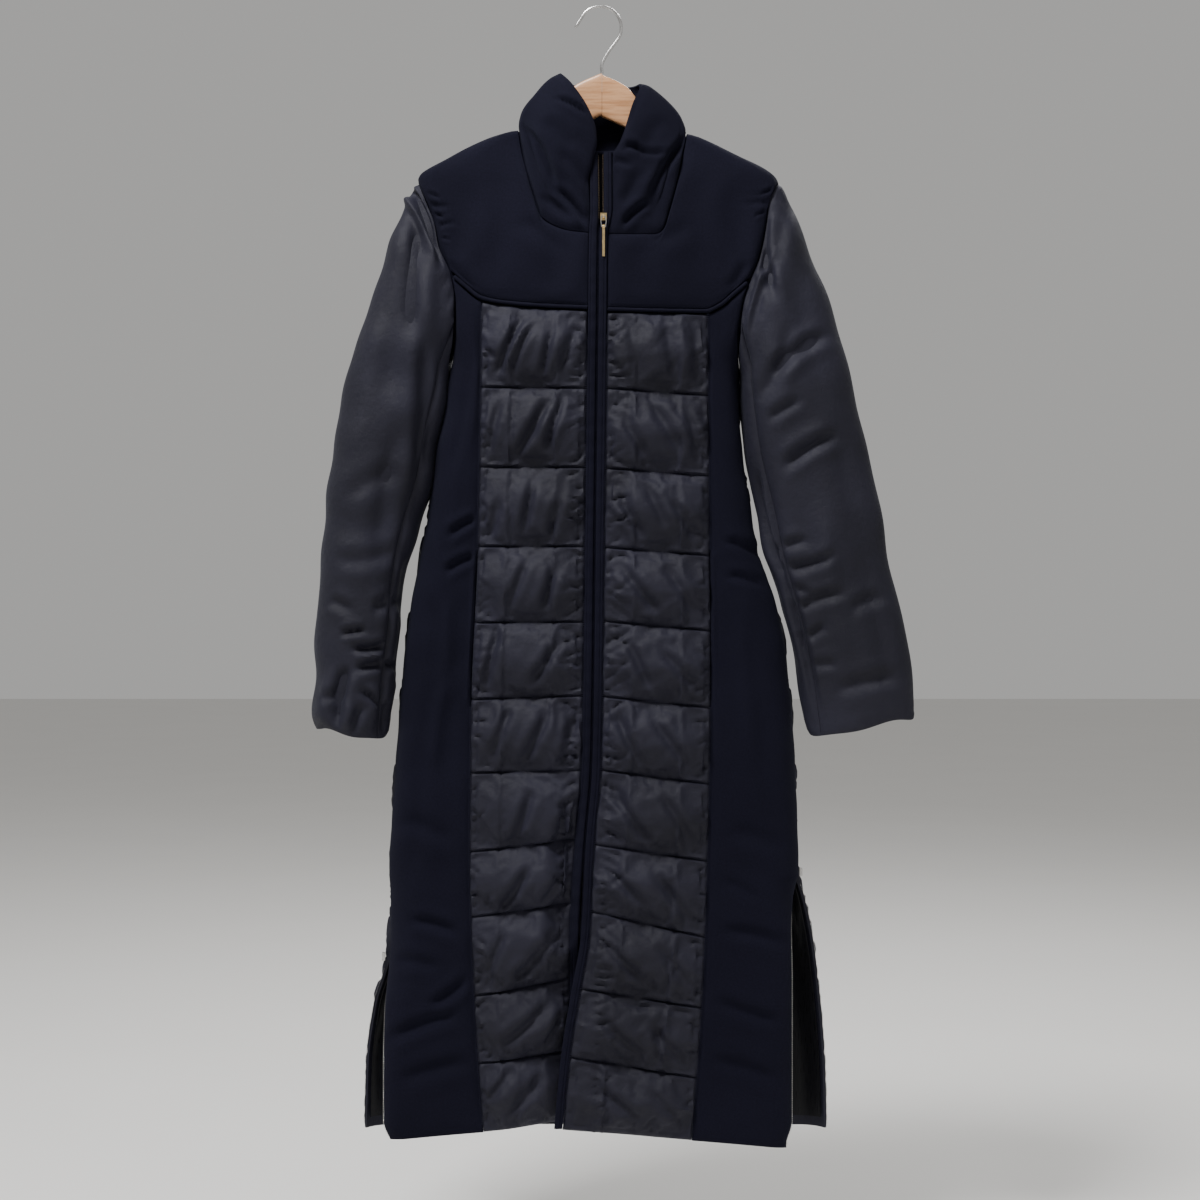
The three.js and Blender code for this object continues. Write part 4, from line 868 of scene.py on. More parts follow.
def floor_surface(settings):
    """Pale matte floor with a faint mottle."""
    tree, shader = new_surface("floor", **{"Specular IOR Level": 0.1})
    _, place = coordinates_of(tree)
    mottle = noise(tree, place, 3, 3)
    pale, shade = shades(settings.floor, 1.0, 0.96)
    link_surface(tree, shader, blended(tree, mottle, pale, shade), ranged(tree, mottle, 0, 1, 0.85, 0.95))


# Panels of the front


def front_grid(side, place, face=-1):
    """Base points and outward directions of a panel whose places are shares round and heights."""
    s, z = place[..., 0], place[..., 1]
    return body_point(side, face, s, z), body_normal(side, face, s, z)


def uv_of(side, face, place):
    """Flat pattern coordinates: the length round the section, and the height."""
    reach = section(side, face, place[..., 1])[3]
    return np.stack([place[..., 0] * reach, place[..., 1]], -1)


def add_panel(name, side, place, height, thickness):
    """Wall of a front panel of wool-like cloth: its base lifted outside, and set back inside."""
    base, normal = front_grid(side, place)
    outer = base + normal * height[..., None]
    inner = base - normal * thickness
    return outer, add_wall(name, outer, inner, uv_of(side, -1, place), "wool")


def yoke_place(side, u, v):
    """Places of the yoke: placket, neck seam and shoulder, armhole and corded seam."""
    seam, neck = YOKE_SEAM[side], NECK_SEAM[side]
    end_x = seam[-1][0]
    share = NECK_SHARE

    def bottom(t):
        z = cord_z(side, mix(seam[0][0], end_x, t), CORD_ROOM)
        x = np.minimum(mix(strip_edge(side, z), end_x, t), armhole_of[side](z) - SEAM)
        return on_front(side, x, z)

    def top(t):
        x, z = np.moveaxis(path_at(neck, t / share), -1, 0)
        near = on_front(side, x, z - SEAM / 2)
        z = mix(neck[-1][1], SHOULDER_Z, np.clip((t - share) / (1 - share), 0, 1))
        far = np.stack([1 - SEAM / 2 / section(side, -1, z)[3], z - SEAM / 2], -1)
        return np.where((t < share)[:, None], near, far)

    def left(t):
        z = mix(cord_z(side, seam[0][0], CORD_ROOM), neck[0][1] - SEAM / 2, t)
        return on_front(side, strip_edge(side, z), z)

    def right(t):
        z = mix(cord_z(side, end_x, CORD_ROOM), SHOULDER_Z - SEAM / 2, t)
        edge = on_front(side, armhole_of[side](z) - SEAM, z)
        return np.where((t >= 1)[:, None], top(np.ones(1)), edge)

    return patch(bottom, top, left, right, u, v)


def side_place(side, u, v):
    """Places of the side front panel: quilt seam, corded seam, armhole and side seam, down to the hem."""
    seam = YOKE_SEAM[side]
    end_x = seam[-1][0]
    hem = QUILT_LINES[side][-1][1]
    corner = hem - HEM_ROUND
    shift = -CORD_ROOM - 3 * SEAM
    seam_x = lambda z: quilt_seam_of[side](z) + SEAM / 2
    start = float(seam_x(QUILT_SEAM[0][0]))
    end_z = float(cord_z(side, end_x, shift))
    hole = HOLE_SHARE

    def top(t):
        x = mix(start, float(armhole_of[side](end_z)) - SEAM, t)
        return on_front(side, x, cord_z(side, x, shift))

    def bottom(t):
        z = mix(hem, corner, t)
        return np.stack([mix(on_front(side, seam_x(z), z)[:, 0], 1 - 0.001, t), z], -1)

    def quilt_edge(t):
        z = mix(float(cord_z(side, start, shift)), hem, t)
        return on_front(side, seam_x(z), z)

    def side_edge(t):
        z = mix(end_z, UNDERARM_Z - SEAM, t / hole)
        near = on_front(side, armhole_of[side](z) - SEAM, z)
        z = mix(UNDERARM_Z - SEAM, corner, (t - hole) / (1 - hole))
        far = np.stack([1 - SEAM / 2 / section(side, -1, z)[3], z], -1)
        return np.where((t < hole)[:, None], near, far)

    return patch(top, bottom, quilt_edge, side_edge, u, v)


def quilt_place(side, u, v):
    """Places of the quilted front: rows between its slanted stitch lines, columns from zip to outer seam."""
    lines = np.array(QUILT_LINES[side], float)
    k = np.minimum(CHANNELS - 1, np.floor(v * CHANNELS + 1e-9).astype(int))[:, None]
    t = v[:, None] * CHANNELS - k
    start, end = YOKE_SEAM[side][0][0], QUILT_SEAM[0][COLUMN[side]]
    top = cord_z(side, mix(start, end, u), -CORD_ROOM)[None]
    height = lambda n: np.where(n == 0, top, mix(lines[n, 0], lines[n, 1], u[None]))
    z = mix(height(k), height(k + 1), t)
    x = mix(strip_edge(side, z), quilt_seam_of[side](z) - SEAM / 2, u[None])
    return np.stack([fraction_at(side, -1, x, z), z], -1), t


def quilt_rise(u, t, puff):
    """Height of a filled channel: a flattened sine from line to line, fullest just above its middle,
    and drawn in at both ends."""
    ends = np.minimum(1, np.sqrt(np.clip(np.sin(np.pi * u), 0, 1)) * 1.15)
    return puff * ends * np.clip(np.sin(np.pi * t ** 0.9), 0, 1) ** 0.6


def nearest_line(t):
    """Distance from the nearer stitch line, as a share of the channel."""
    return np.minimum(t, 1 - t)


def build_quilt(side, settings):
    """Quilted front: the cloth settles between its stitch lines, then gets its listed folds."""
    columns, rows = 40, CHANNELS * 24
    u, v = np.linspace(0, 1, columns + 1), np.linspace(0, 1, rows + 1)
    place, t = quilt_place(side, u, v)
    base, normal = front_grid(side, place)
    rise = quilt_rise(u[None], t, settings.puff)
    start = base + normal * (rise * SETTLE_FROM)[..., None]
    held = np.where((nearest_line(t) < 0.01) | (u[None] < 0.001) | (u[None] > 0.999), 1.0, 0.0)
    found = settle(start, held, settings.fullness, settings.pressure, SETTLE_LIMIT)
    move = found - start
    size = 1.25
    fine_u = np.linspace(0, columns, int(columns * size) + 1)
    fine_v = np.linspace(0, rows, int(rows * size) + 1)
    finer = lambda grid: np.swapaxes(rows_at(np.swapaxes(rows_at(grid, fine_v), 0, 1), fine_u), 0, 1)
    place, t = quilt_place(side, fine_u / columns, fine_v / rows)
    base, normal = front_grid(side, place)
    rise = quilt_rise((fine_u / columns)[None], t, settings.puff)
    outer = base + normal * (rise * SETTLE_FROM)[..., None] + finer(move)
    strokes = list(QUILT_CREASES[side])
    inner_x = {"left": (589, 588, 571, 577), "right": (608, 608, 600, 590)}[side]
    outer_x = {"left": (481, 475, 470, 472), "right": (710, 711, 708, 700)}[side]
    heights = (310, 560, 860, 1120)
    lean = SIGN[side]
    for k in range(3):
        zip_ends = (inner_x[k], heights[k]), (inner_x[k + 1], heights[k + 1])
        strokes += puckers(*zip_ends, 6.5, 19, lean, 1.2, 11 + k)
        far_ends = (outer_x[k], heights[k]), (outer_x[k + 1], heights[k + 1])
        strokes += puckers(*far_ends, 10, 13, -lean, 1.2, 31 + k)
    for k, (near, far) in enumerate(QUILT_LINES[side]):
        z = (near + far) / 2
        y = row_of(z)
        line = (min(inner_x[1], outer_x[1]) + 4, y), (max(inner_x[1], outer_x[1]) - 4, y)
        strokes += puckers(*line, 15, 11, 1, 1.0, 60 + k)
        strokes += puckers(*line, 15, 9, -1, 0.9, 90 + k)
    from_ends = np.minimum(fine_u, columns - fine_u)[None] / columns
    free = smooth(nearest_line(t), 0.02, 0.12) * smooth(from_ends, 0, 0.03)
    folds = creases(base, strokes) * QUILT_DEPTH * settings.crease
    outer = outer + normal * (folds * free)[..., None]
    stitch = 1.8 * np.exp(-(nearest_line(t) / 0.03) ** 2)
    outer = outer - normal * (stitch - rolled(base, 1.4, 2.2))[..., None]
    inner = base - normal * SHELL
    name = f"quilt_{side}"
    piece = add_wall(name, outer, inner, uv_of(side, -1, place), "nylon")


def build_yoke(side, settings):
    """Front yoke of wool-like cloth with gathers at the armhole."""
    u, v = np.linspace(0, 1, 91), np.linspace(0, 1, 71)
    place = yoke_place(side, u, v)
    base, _ = front_grid(side, place)
    height = creases(base, YOKE_CREASES[side]) * settings.crease + uneven(base, 3, 70, 0.7)
    inside = inside_of(base)
    height = height * smooth(inside, 0, 9) + 1.6 * smooth(inside, 0, 16) + rolled(base)
    outer, piece = add_panel(f"yoke_{side}", side, place, height, CLOTH)


def build_side_panel(side, settings):
    """Side front panel with the slanting opening of its in-seam pocket."""
    u, v = np.linspace(0, 1, 43), np.linspace(0, 1, 291)
    place = side_place(side, u, v)
    base, _ = front_grid(side, place)
    height = creases(base, SIDE_CREASES[side]) * settings.crease + uneven(base, 5, 80, 0.8)
    inside = inside_of(base)
    _, py = picture(base)
    pocket = smooth(py, *POCKET_PX[:2]) * (1 - smooth(py, *POCKET_PX[2:]))
    along_seam = spacing_of(base)[0]
    lip = (1.8 * pocket * np.exp(-((along_seam - 3.5) / 3.0) ** 2)
           - 2.6 * pocket * np.exp(-(along_seam / 1.6) ** 2))
    height = height * smooth(inside, 0, 9) + 1.2 * smooth(inside, 0, 14) + rolled(base) + lip
    outer, piece = add_panel(f"side_panel_{side}", side, place, height, CLOTH)


def strip_place(side, offsets, share):
    """Places along a placket strip: outward offsets from the closure's edge, heights down to the hem."""
    z = mix(STRIP_TOP, STRIP_HEM[side], share)[:, None]
    x = SIGN[side] * closure_of[side](z) + offsets[None]
    return np.stack(np.broadcast_arrays(fraction_at(side, -1, x, z), z), -1)


def build_placket(side):
    """Placket strip: a folded band with two rounded edges and a stitched furrow along its middle."""
    u, v = np.linspace(0, 1, 13), np.linspace(0, 1, 521)
    place = strip_place(side, u * STRIP, v)
    base, _ = front_grid(side, place)
    crown = 1.5 * np.sqrt(np.clip(np.sin(np.pi * u), 0, 1)) + 0.5
    furrow = 0.8 * np.exp(-((u - 0.68) / 0.07) ** 2)
    height = (crown - furrow)[None] + uneven(base, 8, 26, 0.18) + 0.25 * np.sin(base[..., 2] / 3.1)
    outer, piece = add_panel(f"placket_{side}", side, place, height, 2.2)


def build_tape(side):
    """Zip tape that lies under the strip and runs to the teeth."""
    offsets = np.array([-1.1, -0.35, 0.0, 3.5, 7.0])
    v = np.linspace(0, TAPE_SHARE, 181)
    place = strip_place(side, offsets, v)
    base, normal = front_grid(side, place)
    low = -2.8
    height = np.broadcast_to(np.array([-0.6, -0.9, low, low, low])[None], base.shape[:2])
    outer = base + normal * height[..., None]
    inner = base + normal * (low - 1.1)
    name = f"zip_tape_{side}"
    piece = add_wall(name, outer, inner, uv_of(side, -1, place), "wool")


def build_teeth():
    """Zip teeth: small beans of dull brass along both tapes, set deeper below the slider than above it."""
    centres, along, out = [], [], []
    for side in SIGN:
        z = np.arange(STRIP_TOP - 3, mix(STRIP_TOP, STRIP_HEM[side], TAPE_SHARE), -1.9)
        z = z - (0.95 if side == "left" else 0)
        x = SIGN[side] * closure_of[side](z) - 0.75
        s = fraction_at(side, -1, x, z)
        depth = mix(-1.9, 0.1, smooth(z, -246, -236))[:, None]
        centres.append(body_point(side, -1, s, z) + body_normal(side, -1, s, z) * depth)
        along.append(np.tile((1.0, 0, 0), (len(z), 1)))
        out.append(np.tile((0, 0, 1.0), (len(z), 1)))
    add_seeds("zip_teeth", np.concatenate(centres), np.concatenate(along), np.concatenate(out),
              (0.8, 1.2, 1.4), "teeth", "brass")


def build_piping(side):
    """Corded piping between the yoke and the quilted front, with the small waves of its gathered cover."""
    seam = YOKE_SEAM[side]
    x = np.linspace(seam[0][0] + 2 * SEAM, seam[-1][0] - 3.5, 120)
    z = cord_z(side, x)
    x[0] = max(x[0], float(strip_edge(side, z[0]) + SEAM))
    s = fraction_at(side, -1, x, z)
    path = body_point(side, -1, s, z) + body_normal(side, -1, s, z) * 0.1
    radius = 2.15 + uneven(path, 21, 9, 0.1)
    radius[[0, -1]] *= 0.6
    add_tube(f"piping_{side}", rings_along(path, radius, 12), "wool")


# Back, lining and collar


def back_neck(side, x):
    """Height of the back's neck seam at a distance from the middle."""
    point_x, top = NECK_POINT[side]
    return mix(BACK_NECK_Z, top, np.clip(x / point_x, 0, 1) ** 2.4)


def back_place(side, a, v, share):
    """Places of one half of the back, from the hem up to the neck and shoulder."""
    inset = lambda z: 1 - SEAM / 2 / section(side, 1, z)[3]
    a, v = np.meshgrid(a, v)
    low_z = mix(BACK_HEM, UNDERARM_Z - SEAM, v / share)
    low = np.stack([a * inset(low_z), low_z], -1)
    w = np.clip((v - share) / (1 - share), 0, 1)
    hole = mix(UNDERARM_Z - SEAM, SHOULDER_Z - SEAM / 2, w)
    hole_s = np.where(w >= 1, inset(hole), fraction_at(side, 1, armhole_of[side](hole) - SEAM, hole))
    point_x, neck_z = NECK_POINT[side]
    neck_place = NECK_POINT["left"][0] / 204
    neck_x = a / neck_place * point_x
    top_z = np.where(a < neck_place, back_neck(side, neck_x),
                     mix(neck_z, SHOULDER_Z, (a - neck_place) / (1 - neck_place)))
    top_s = np.where(a < neck_place, fraction_at(side, 1, neck_x, top_z), inset(top_z))
    z = mix(UNDERARM_Z - SEAM, top_z - SEAM / 2, w)
    edge = mix(float(inset(UNDERARM_Z)), float(inset(SHOULDER_Z)), w)
    s = mix(a * inset(UNDERARM_Z), top_s, w) + a * (hole_s - edge)
    high = np.stack([np.minimum(s, inset(z)), z], -1)
    return np.where((v <= share)[..., None], low, high)


def both_halves(u, make):
    """A back grid from its two halves, left to right, from the signed share across."""
    left = make("left", -u[u < 0])
    right = make("right", u[u >= 0])
    return np.concatenate([left, right], axis=1)


def build_back(settings):
    """Padded back: quilted from the hem to the underarms and plain above."""
    share = QUILTED_SHARE
    quilt_rows, top_rows, half = BACK_CHANNELS * 14, 56, 56
    columns = [-c for c in BACK_COLUMNS[:0:-1]] + BACK_COLUMNS
    q = np.interp(np.linspace(-6, 6, 2 * half + 1), np.arange(-6, 7), columns)
    v = np.concatenate([np.linspace(0, share, quilt_rows + 1), np.linspace(share, 1, top_rows + 1)[1:]])

    def points(side, a):
        place = back_place(side, a, v, share)
        return np.concatenate([*front_grid(side, place, 1), place], -1)

    grid = both_halves(q, points)
    base, normal = grid[..., :3], grid[..., 3:6]
    channel = v / share * BACK_CHANNELS
    t = (channel - np.floor(channel + 1e-9))[:, None]
    low = (v <= share)[:, None]
    across = (np.arange(len(q)) / (len(q) - 1))[None]
    rise = np.where(low, quilt_rise(across, 1 - t, settings.puff), 0)
    lines = low & (nearest_line(np.clip(t, 0, 1)) < 0.01)
    edge = (across < 0.001) | (across > 0.999) | (v > 0.999)[:, None]
    held = np.where(lines | edge | (np.abs(v - share) < 1e-6)[:, None], 1.0, np.where(low, 0.0, 0.4))
    start = base + normal * (rise * SETTLE_FROM)[..., None]
    outer = settle(start, held, settings.fullness, settings.pressure, SETTLE_LIMIT)
    strokes = list(BACK_CREASES)
    for k in range(1, BACK_CHANNELS):
        z = mix(BACK_HEM, UNDERARM_Z, k / BACK_CHANNELS)
        y = row_of(z)
        for way in (1, -1):
            strokes += puckers((425, y), (775, y), 24, 13, way, 1.5, 200 + k + way)
    for k, x in enumerate(np.random.default_rng(9).uniform(430, 770, 34)):
        y = 385 + 22 * k
        strokes.append((x, y, x + (14 if k % 2 else -18), y + 48, 5.0, 2.4, 1))
    inside = inside_of(base)
    free = smooth(inside, 0, 9) * np.where(low, smooth(nearest_line(np.clip(t, 0, 1)), 0, 0.12), 1)
    folds = creases(base, strokes) * settings.crease + uneven(base, 15, 90, 0.9)
    stitch = np.where(low, 0.9 * np.exp(-(nearest_line(np.clip(t, 0, 1)) / 0.03) ** 2), 0)
    plain = np.where(low, 0, 1.5 * smooth(inside, 0, 20))
    outer = outer + normal * (folds * free - stitch + rolled(base) + plain)[..., None]
    inner = base - normal * SHELL
    uv = np.stack([q[None] * 240 + 0 * base[..., 2], base[..., 2]], -1)
    piece = add_wall("back", outer, inner, uv, "nylon")


def build_lining():
    """Satin lining of the lower back, with long soft folds that fan out towards the hem."""
    q = np.linspace(-LINING["edge"], LINING["edge"], 141)
    v = np.linspace(0, 1, 91)
    z = mix(LINING["bottom"], LINING["top"], v)

    def points(side, a):
        s, height = np.meshgrid(a, z)
        return np.concatenate([body_point(side, 1, s, height), body_normal(side, 1, s, height)], -1)

    grid = both_halves(q, points)
    base, normal = grid[..., :3], grid[..., 3:]
    loose = (1 - smooth(v, 0.75, 1.0))[:, None] * smooth(1 - np.abs(q), 0.0, 0.05)[None]
    x = base[..., 0]
    up = v[:, None]
    waves = np.sin(x / 17 + 1.1 * np.sin(x / 61) + (1 - up) * 0.8) + 0.6 * np.sin(x / 9.3 + 2 - up)
    depth = LINING["depth"] + loose * (1.4 + 1.0 * waves)
    outer = base - normal * depth[..., None]
    inner = outer - normal * 0.9
    uv = np.stack([x, base[..., 2]], -1)
    piece = add_wall("back_lining", outer, inner, uv, "satin")


def neck_seam(side, t):
    """Neck seam from the zip, zero, to the middle of the back, one, and the body's outward direction."""
    share = FRONT_SHARE
    x, z = np.moveaxis(path_at(NECK_SEAM[side], t / share), -1, 0)
    turn = np.clip((t - share) / (1 - share), 0, 1) * np.pi / 2
    back_x = NECK_POINT[side][0] * np.cos(turn)
    back_z = back_neck(side, back_x)
    points, normals = [], []
    for face, at_x, at_z in ((-1, x, z), (1, back_x, back_z)):
        s = np.where(at_x < 1, 0, fraction_at(side, face, at_x, at_z))
        point = body_point(side, face, s, at_z)
        point[..., 2] += 2 * SEAM
        if face < 0:
            point[..., 0] -= 3 * SEAM * SIGN[side]
        points.append(point)
        normals.append(body_normal(side, face, s, at_z))
    front = (t < share)[..., None]
    return np.where(front, *points), np.where(front, *normals)


def build_collar(settings):
    """Stand collar: a padded band that rolls over its neck seam, folded at the front and open at the zip."""
    columns, rows = 100, 44
    t = np.linspace(0, 1, columns + 1) ** 1.05
    v = np.linspace(0, 1, rows + 1)

    def points(side, a):
        a = 1 - a
        seam, normal = neck_seam(side, a)
        top = path_at(COLLAR_TOP[side], a)
        top[:, 0] *= SIGN[side]
        z = mix(NECK_SEAM[side][0][1] + 3 * SEAM, STRIP_TOP, v)
        edge = body_point(side, -1, fraction_at(side, -1, strip_edge(side, z), z), z)
        point = mix(seam[None], top[None], v[:, None, None])
        drawn = (1 - smooth(a, 0, 0.12))[None, :, None]
        start = mix(seam[:1][None], top[:1][None], v[:, None, None]) if a[0] < a[-1] else \
            mix(seam[-1:][None], top[-1:][None], v[:, None, None])
        point = point + drawn * (edge[:, None] - start)
        away = unit(point * (1, 1, 0))
        crease = 5 * np.exp(-((v - 0.18) / 0.08) ** 2)[:, None] * (1 - smooth(a, 0.4, 0.7))[None]
        full = 9 * np.sin(np.pi * v)[:, None] * smooth(a, 0, 0.3)[None]
        held = smooth(v, 0, 0.1)[:, None] * smooth(a, 0, 0.25)[None]
        return point + away * (full - crease * held)[..., None]

    q = np.concatenate([-t[::-1], t[1:]])
    grid = both_halves(q, points)
    normal = normals_of(grid, grid * (1, 1, 0))
    inside = inside_of(grid)
    facing = smooth(-normal[..., 1], -0.1, 0.3)
    folds = creases(grid, COLLAR_CREASES) * settings.crease * facing + uneven(grid, 31, 55, 0.8)
    height = folds * smooth(inside, 0, 6) + 2.0 * smooth(inside, 0, 12) + rolled(grid, 1.2, 2.2)
    outer = grid + normal * height[..., None]
    deep = 4 + 4 * smooth(inside, 0, 16)
    inner = grid - normal * deep[..., None]
    across, _, down, _ = spacing_of(grid)
    piece = add_wall("collar", outer, inner, np.stack([across, down], -1), "wool")


# Sleeves


def armhole_loop(side, degrees):
    """Point of the armhole at an angle round the sleeve, and its share from the shoulder down."""
    turned = np.mod(degrees, 360)
    front = turned <= 180
    share = np.where(front, turned, 360 - turned) / 180
    z = path_at([(x, z) for z, x in ARMHOLE[side]], share)[..., 1]
    x = armhole_of[side](z)
    ends = (share <= 0) | (share >= 1)
    points = []
    for face in (-1, 1):
        s = np.where(ends, 1, fraction_at(side, face, x, z))
        points.append(body_point(side, face, s, z))
    return np.where(front[..., None], *points), share


def sleeve_ring(side, row, degrees):
    """Slanted ellipse of a sleeve ring; the angle is zero outside and ninety in front."""
    out_x, out_z, in_x, in_z, half, y = row
    angle = np.radians(degrees)
    outside = np.array((SIGN[side] * out_x, y, out_z), float)
    inside = np.array((SIGN[side] * in_x, y, in_z), float)
    point = (outside + inside) / 2 + np.cos(angle)[:, None] * (outside - inside) / 2
    point[:, 1] -= half * np.sin(angle)
    return point


def sleeve_grid(side, degrees, v):
    """Sleeve surface: cubic pieces through the armhole, a half-way ring and the slanted ellipses."""
    hole, share = armhole_loop(side, degrees)
    inward = unit(np.array((SIGN[side] * SLEEVE_HEART[0], 0, SLEEVE_HEART[1])) - hole)
    low = smooth(share, 0.65, 0.9)
    hole = hole + inward * (SEAM + 2.5 * low)[:, None]
    hole[:, 0] += SIGN[side] * (0.1 + 0.5 * (1 - share) ** 2 + 1.5 * low)
    rings = [sleeve_ring(side, row, degrees) for row in SLEEVE[side]]
    angle = np.radians(degrees)
    rings[-1][:, 2] -= 6 * np.sin(angle) + 2.2 * np.sin(3 * angle + 1) + 1.4 * np.sin(5 * angle)
    rings = np.array([hole, (hole + rings[0]) / 2, *rings])
    return rows_at(rings, v * (len(rings) - 1))


def build_sleeve(side, settings):
    """Two-piece sleeve with its head gathers, elbow and cuff folds, and a plain finish inside."""
    front, back, gap = SLEEVE_SEAM
    strokes = SLEEVE_CREASES[side]
    mirrored = [(x0, y0 + 9, x1, y1 + 9, wide, 0.8 * deep, -bend)
                for x0, y0, x1, y1, wide, deep, bend in strokes[1:]]
    for part, low, high, columns, rows in (("top", back - 360 + gap, front - gap, 96, 200),
                                           ("under", front + gap, back - gap, 40, 170)):
        degrees = np.linspace(low, high, columns + 1)
        v = np.linspace(0, 1, rows + 1)
        grid = sleeve_grid(side, degrees, v)
        middle = sleeve_grid(side, np.array([0.0, 180.0]), v).mean(1)[:, None]
        normal = normals_of(grid, grid - middle)
        inside = inside_of(grid)
        folds = creases(grid, strokes) * smooth(-normal[..., 1], -0.15, 0.25)
        folds += creases(grid, mirrored) * smooth(normal[..., 1], -0.15, 0.25)
        folds = folds * SLEEVE_DEPTH * settings.crease + uneven(grid, 41 + int(SIGN[side]), 85, 1.5)
        head = np.exp(-(spacing_of(grid)[2] / 14) ** 2)
        turn = degrees[None]
        gathers = 0.9 * head * np.sin(turn / 3.1 + 1.4 * np.sin(turn / 17)) * (1 - 0.3 * v[:, None])
        height = (folds + gathers) * smooth(inside, 0, 8) + 1.5 * smooth(inside, 0, 14)
        height += rolled(grid, 1.6, 2.4)
        outer = grid + normal * height[..., None]
        inner = grid - normal * SHELL
        across, _, down, _ = spacing_of(grid)
        piece = add_wall(f"sleeve_{side}_{part}", outer, inner, np.stack([across, down], -1), "nylon")


def build_bindings(side):
    """Bound seam allowances under the armhole and neck seams: cords that follow each seam, set inside
    the wall by a cord's radius more than its thickness."""
    hole, _ = armhole_loop(side, np.linspace(0, 360, 121)[:-1])
    x, z = SIGN[side] * hole[:, 0], hole[:, 2]
    normals = [body_normal(side, face, np.minimum(fraction_at(side, face, x, z), 0.999), z)
               for face in (-1, 1)]
    normal = np.where((hole[:, 1] < 0)[:, None], *normals)
    path = hole - unit(normal * (0.35, 1, 1)) * BINDING_DEPTH
    path[:, 0] += 0.8 * SIGN[side]
    path = np.concatenate([path[-3:], path, path[:2]])
    add_tube(f"armhole_binding_{side}", rings_along(path, BINDING_R, 10), "wool", stands_in=False)
    seam, normal = neck_seam(side, np.linspace(0.06, 0.9985, 90))
    path = seam - normal * (SHELL + BINDING_R + 0.4)
    add_tube(f"neck_binding_{side}", rings_along(path, BINDING_R, 10), "wool", stands_in=False)


# Stitches, slits and hanger


def stitches_along(side, x, z, tilt=0.0):
    """Centres and directions of short stitches that cross a seam given by its outward distance and height."""
    s = fraction_at(side, -1, x, z)
    centre = body_point(side, -1, s, z)
    normal = body_normal(side, -1, s, z)
    across = body_point(side, -1, s + 0.01, z) - centre
    along = np.cross(normal, unit(across))
    return centre + normal * 0.55, unit(across) + tilt * unit(along), along


def build_stitches():
    """Ladder stitches over the placket's outer seams and the quilt's outer seams, left out at the pockets."""
    parts = []
    for side in SIGN:
        z = np.arange(-372.0, STRIP_HEM[side] + 6, -2.4)
        parts.append(stitches_along(side, strip_edge(side, z) - 0.2, z, 0.12))
        z = np.arange(-345.0, QUILT_LINES[side][-1][1] + 8, -2.4)
        x = quilt_seam_of[side](z)
        centre, across, along = stitches_along(side, x, z, -0.1)
        _, py = picture(centre)
        keep = (py < 550) | (py > 706)
        parts.append((centre[keep], across[keep], along[keep]))
    centre, across, along = (np.concatenate(column) for column in zip(*parts))
    add_seeds("ladder_stitches", centre, across, along, (0.75, 0.7, 3.6), "thread", "wool")


def edge_line(side, face, z, inset):
    """Points along the free side edge of the front or back, a little inside it."""
    reach = section(side, face, z)[3]
    s = 1 - inset / reach
    return body_point(side, face, s, z), body_normal(side, face, s, z)


def build_slit_zips():
    """Side zips, open along the slits: fine steel teeth on the edges of the front and the back."""
    centres, along, wide = [], [], []
    for side in SIGN:
        for face, hem in ((-1, QUILT_LINES[side][-1][1] - 8), (1, BACK_HEM + 4)):
            z = np.arange(SLIT[side] - 6, hem, -2.0)
            point, normal = edge_line(side, face, z, 0.2)
            out = unit(body_point(side, face, 1.0, z) - body_point(side, face, 0.99, z))
            centres.append(point + out * 0.9 - normal * 1.6)
            along.append(out)
            wide.append(np.tile((0, 0, 1.0), (len(z), 1)))
    add_seeds("slit_zip_teeth", np.concatenate(centres), np.concatenate(along), np.concatenate(wide),
              (1.0, 1.2, 2.2), "steel", "steel")


def ridge_of(side):
    """Outward distance against height of the shoulder line, as a table to look heights up in."""
    z = np.linspace(SHOULDER_Z - 4, -127, 200)
    return width_of[side](z), z


def build_hanger(side):
    """Hanger arm: a flat bar with rounded edges whose top follows the shoulder, mitred at the middle."""
    sign = SIGN[side]
    x = np.concatenate([np.linspace(MITRE_X * sign + SEAM / 2, 80, 50), np.linspace(83, 188, 46)])
    width, height = ridge_of(side)
    order = np.argsort(width)
    drop = CLOTH / np.cos(np.pi / 6) + 10.5
    on_shoulder = np.interp(x, width[order], height[order]) - drop
    top = np.where(x > 80, on_shoulder, curve(ARM_TOP, 1)(x))
    under = curve(ARM_UNDER, 1)(x)
    angle = np.linspace(0, 2 * np.pi, 40, endpoint=False)
    squared = lambda value, power: np.sign(value) * np.abs(value) ** power
    ends = np.sqrt(np.clip((190.5 - x) / 6, 0, 1))
    middle, half = (top + under) / 2, (top - under) / 2 * (0.55 + 0.45 * ends)
    y = 5 * squared(np.cos(angle), 0.45)[None] * (0.6 + 0.4 * ends)[:, None]
    z = middle[:, None] + half[:, None] * squared(np.sin(angle), 0.3)[None]
    rings = np.stack(np.broadcast_arrays(sign * x[:, None], y, z), -1)
    add_tube(f"hanger_arm_{side}", rings, "wood", sharp=0.8)


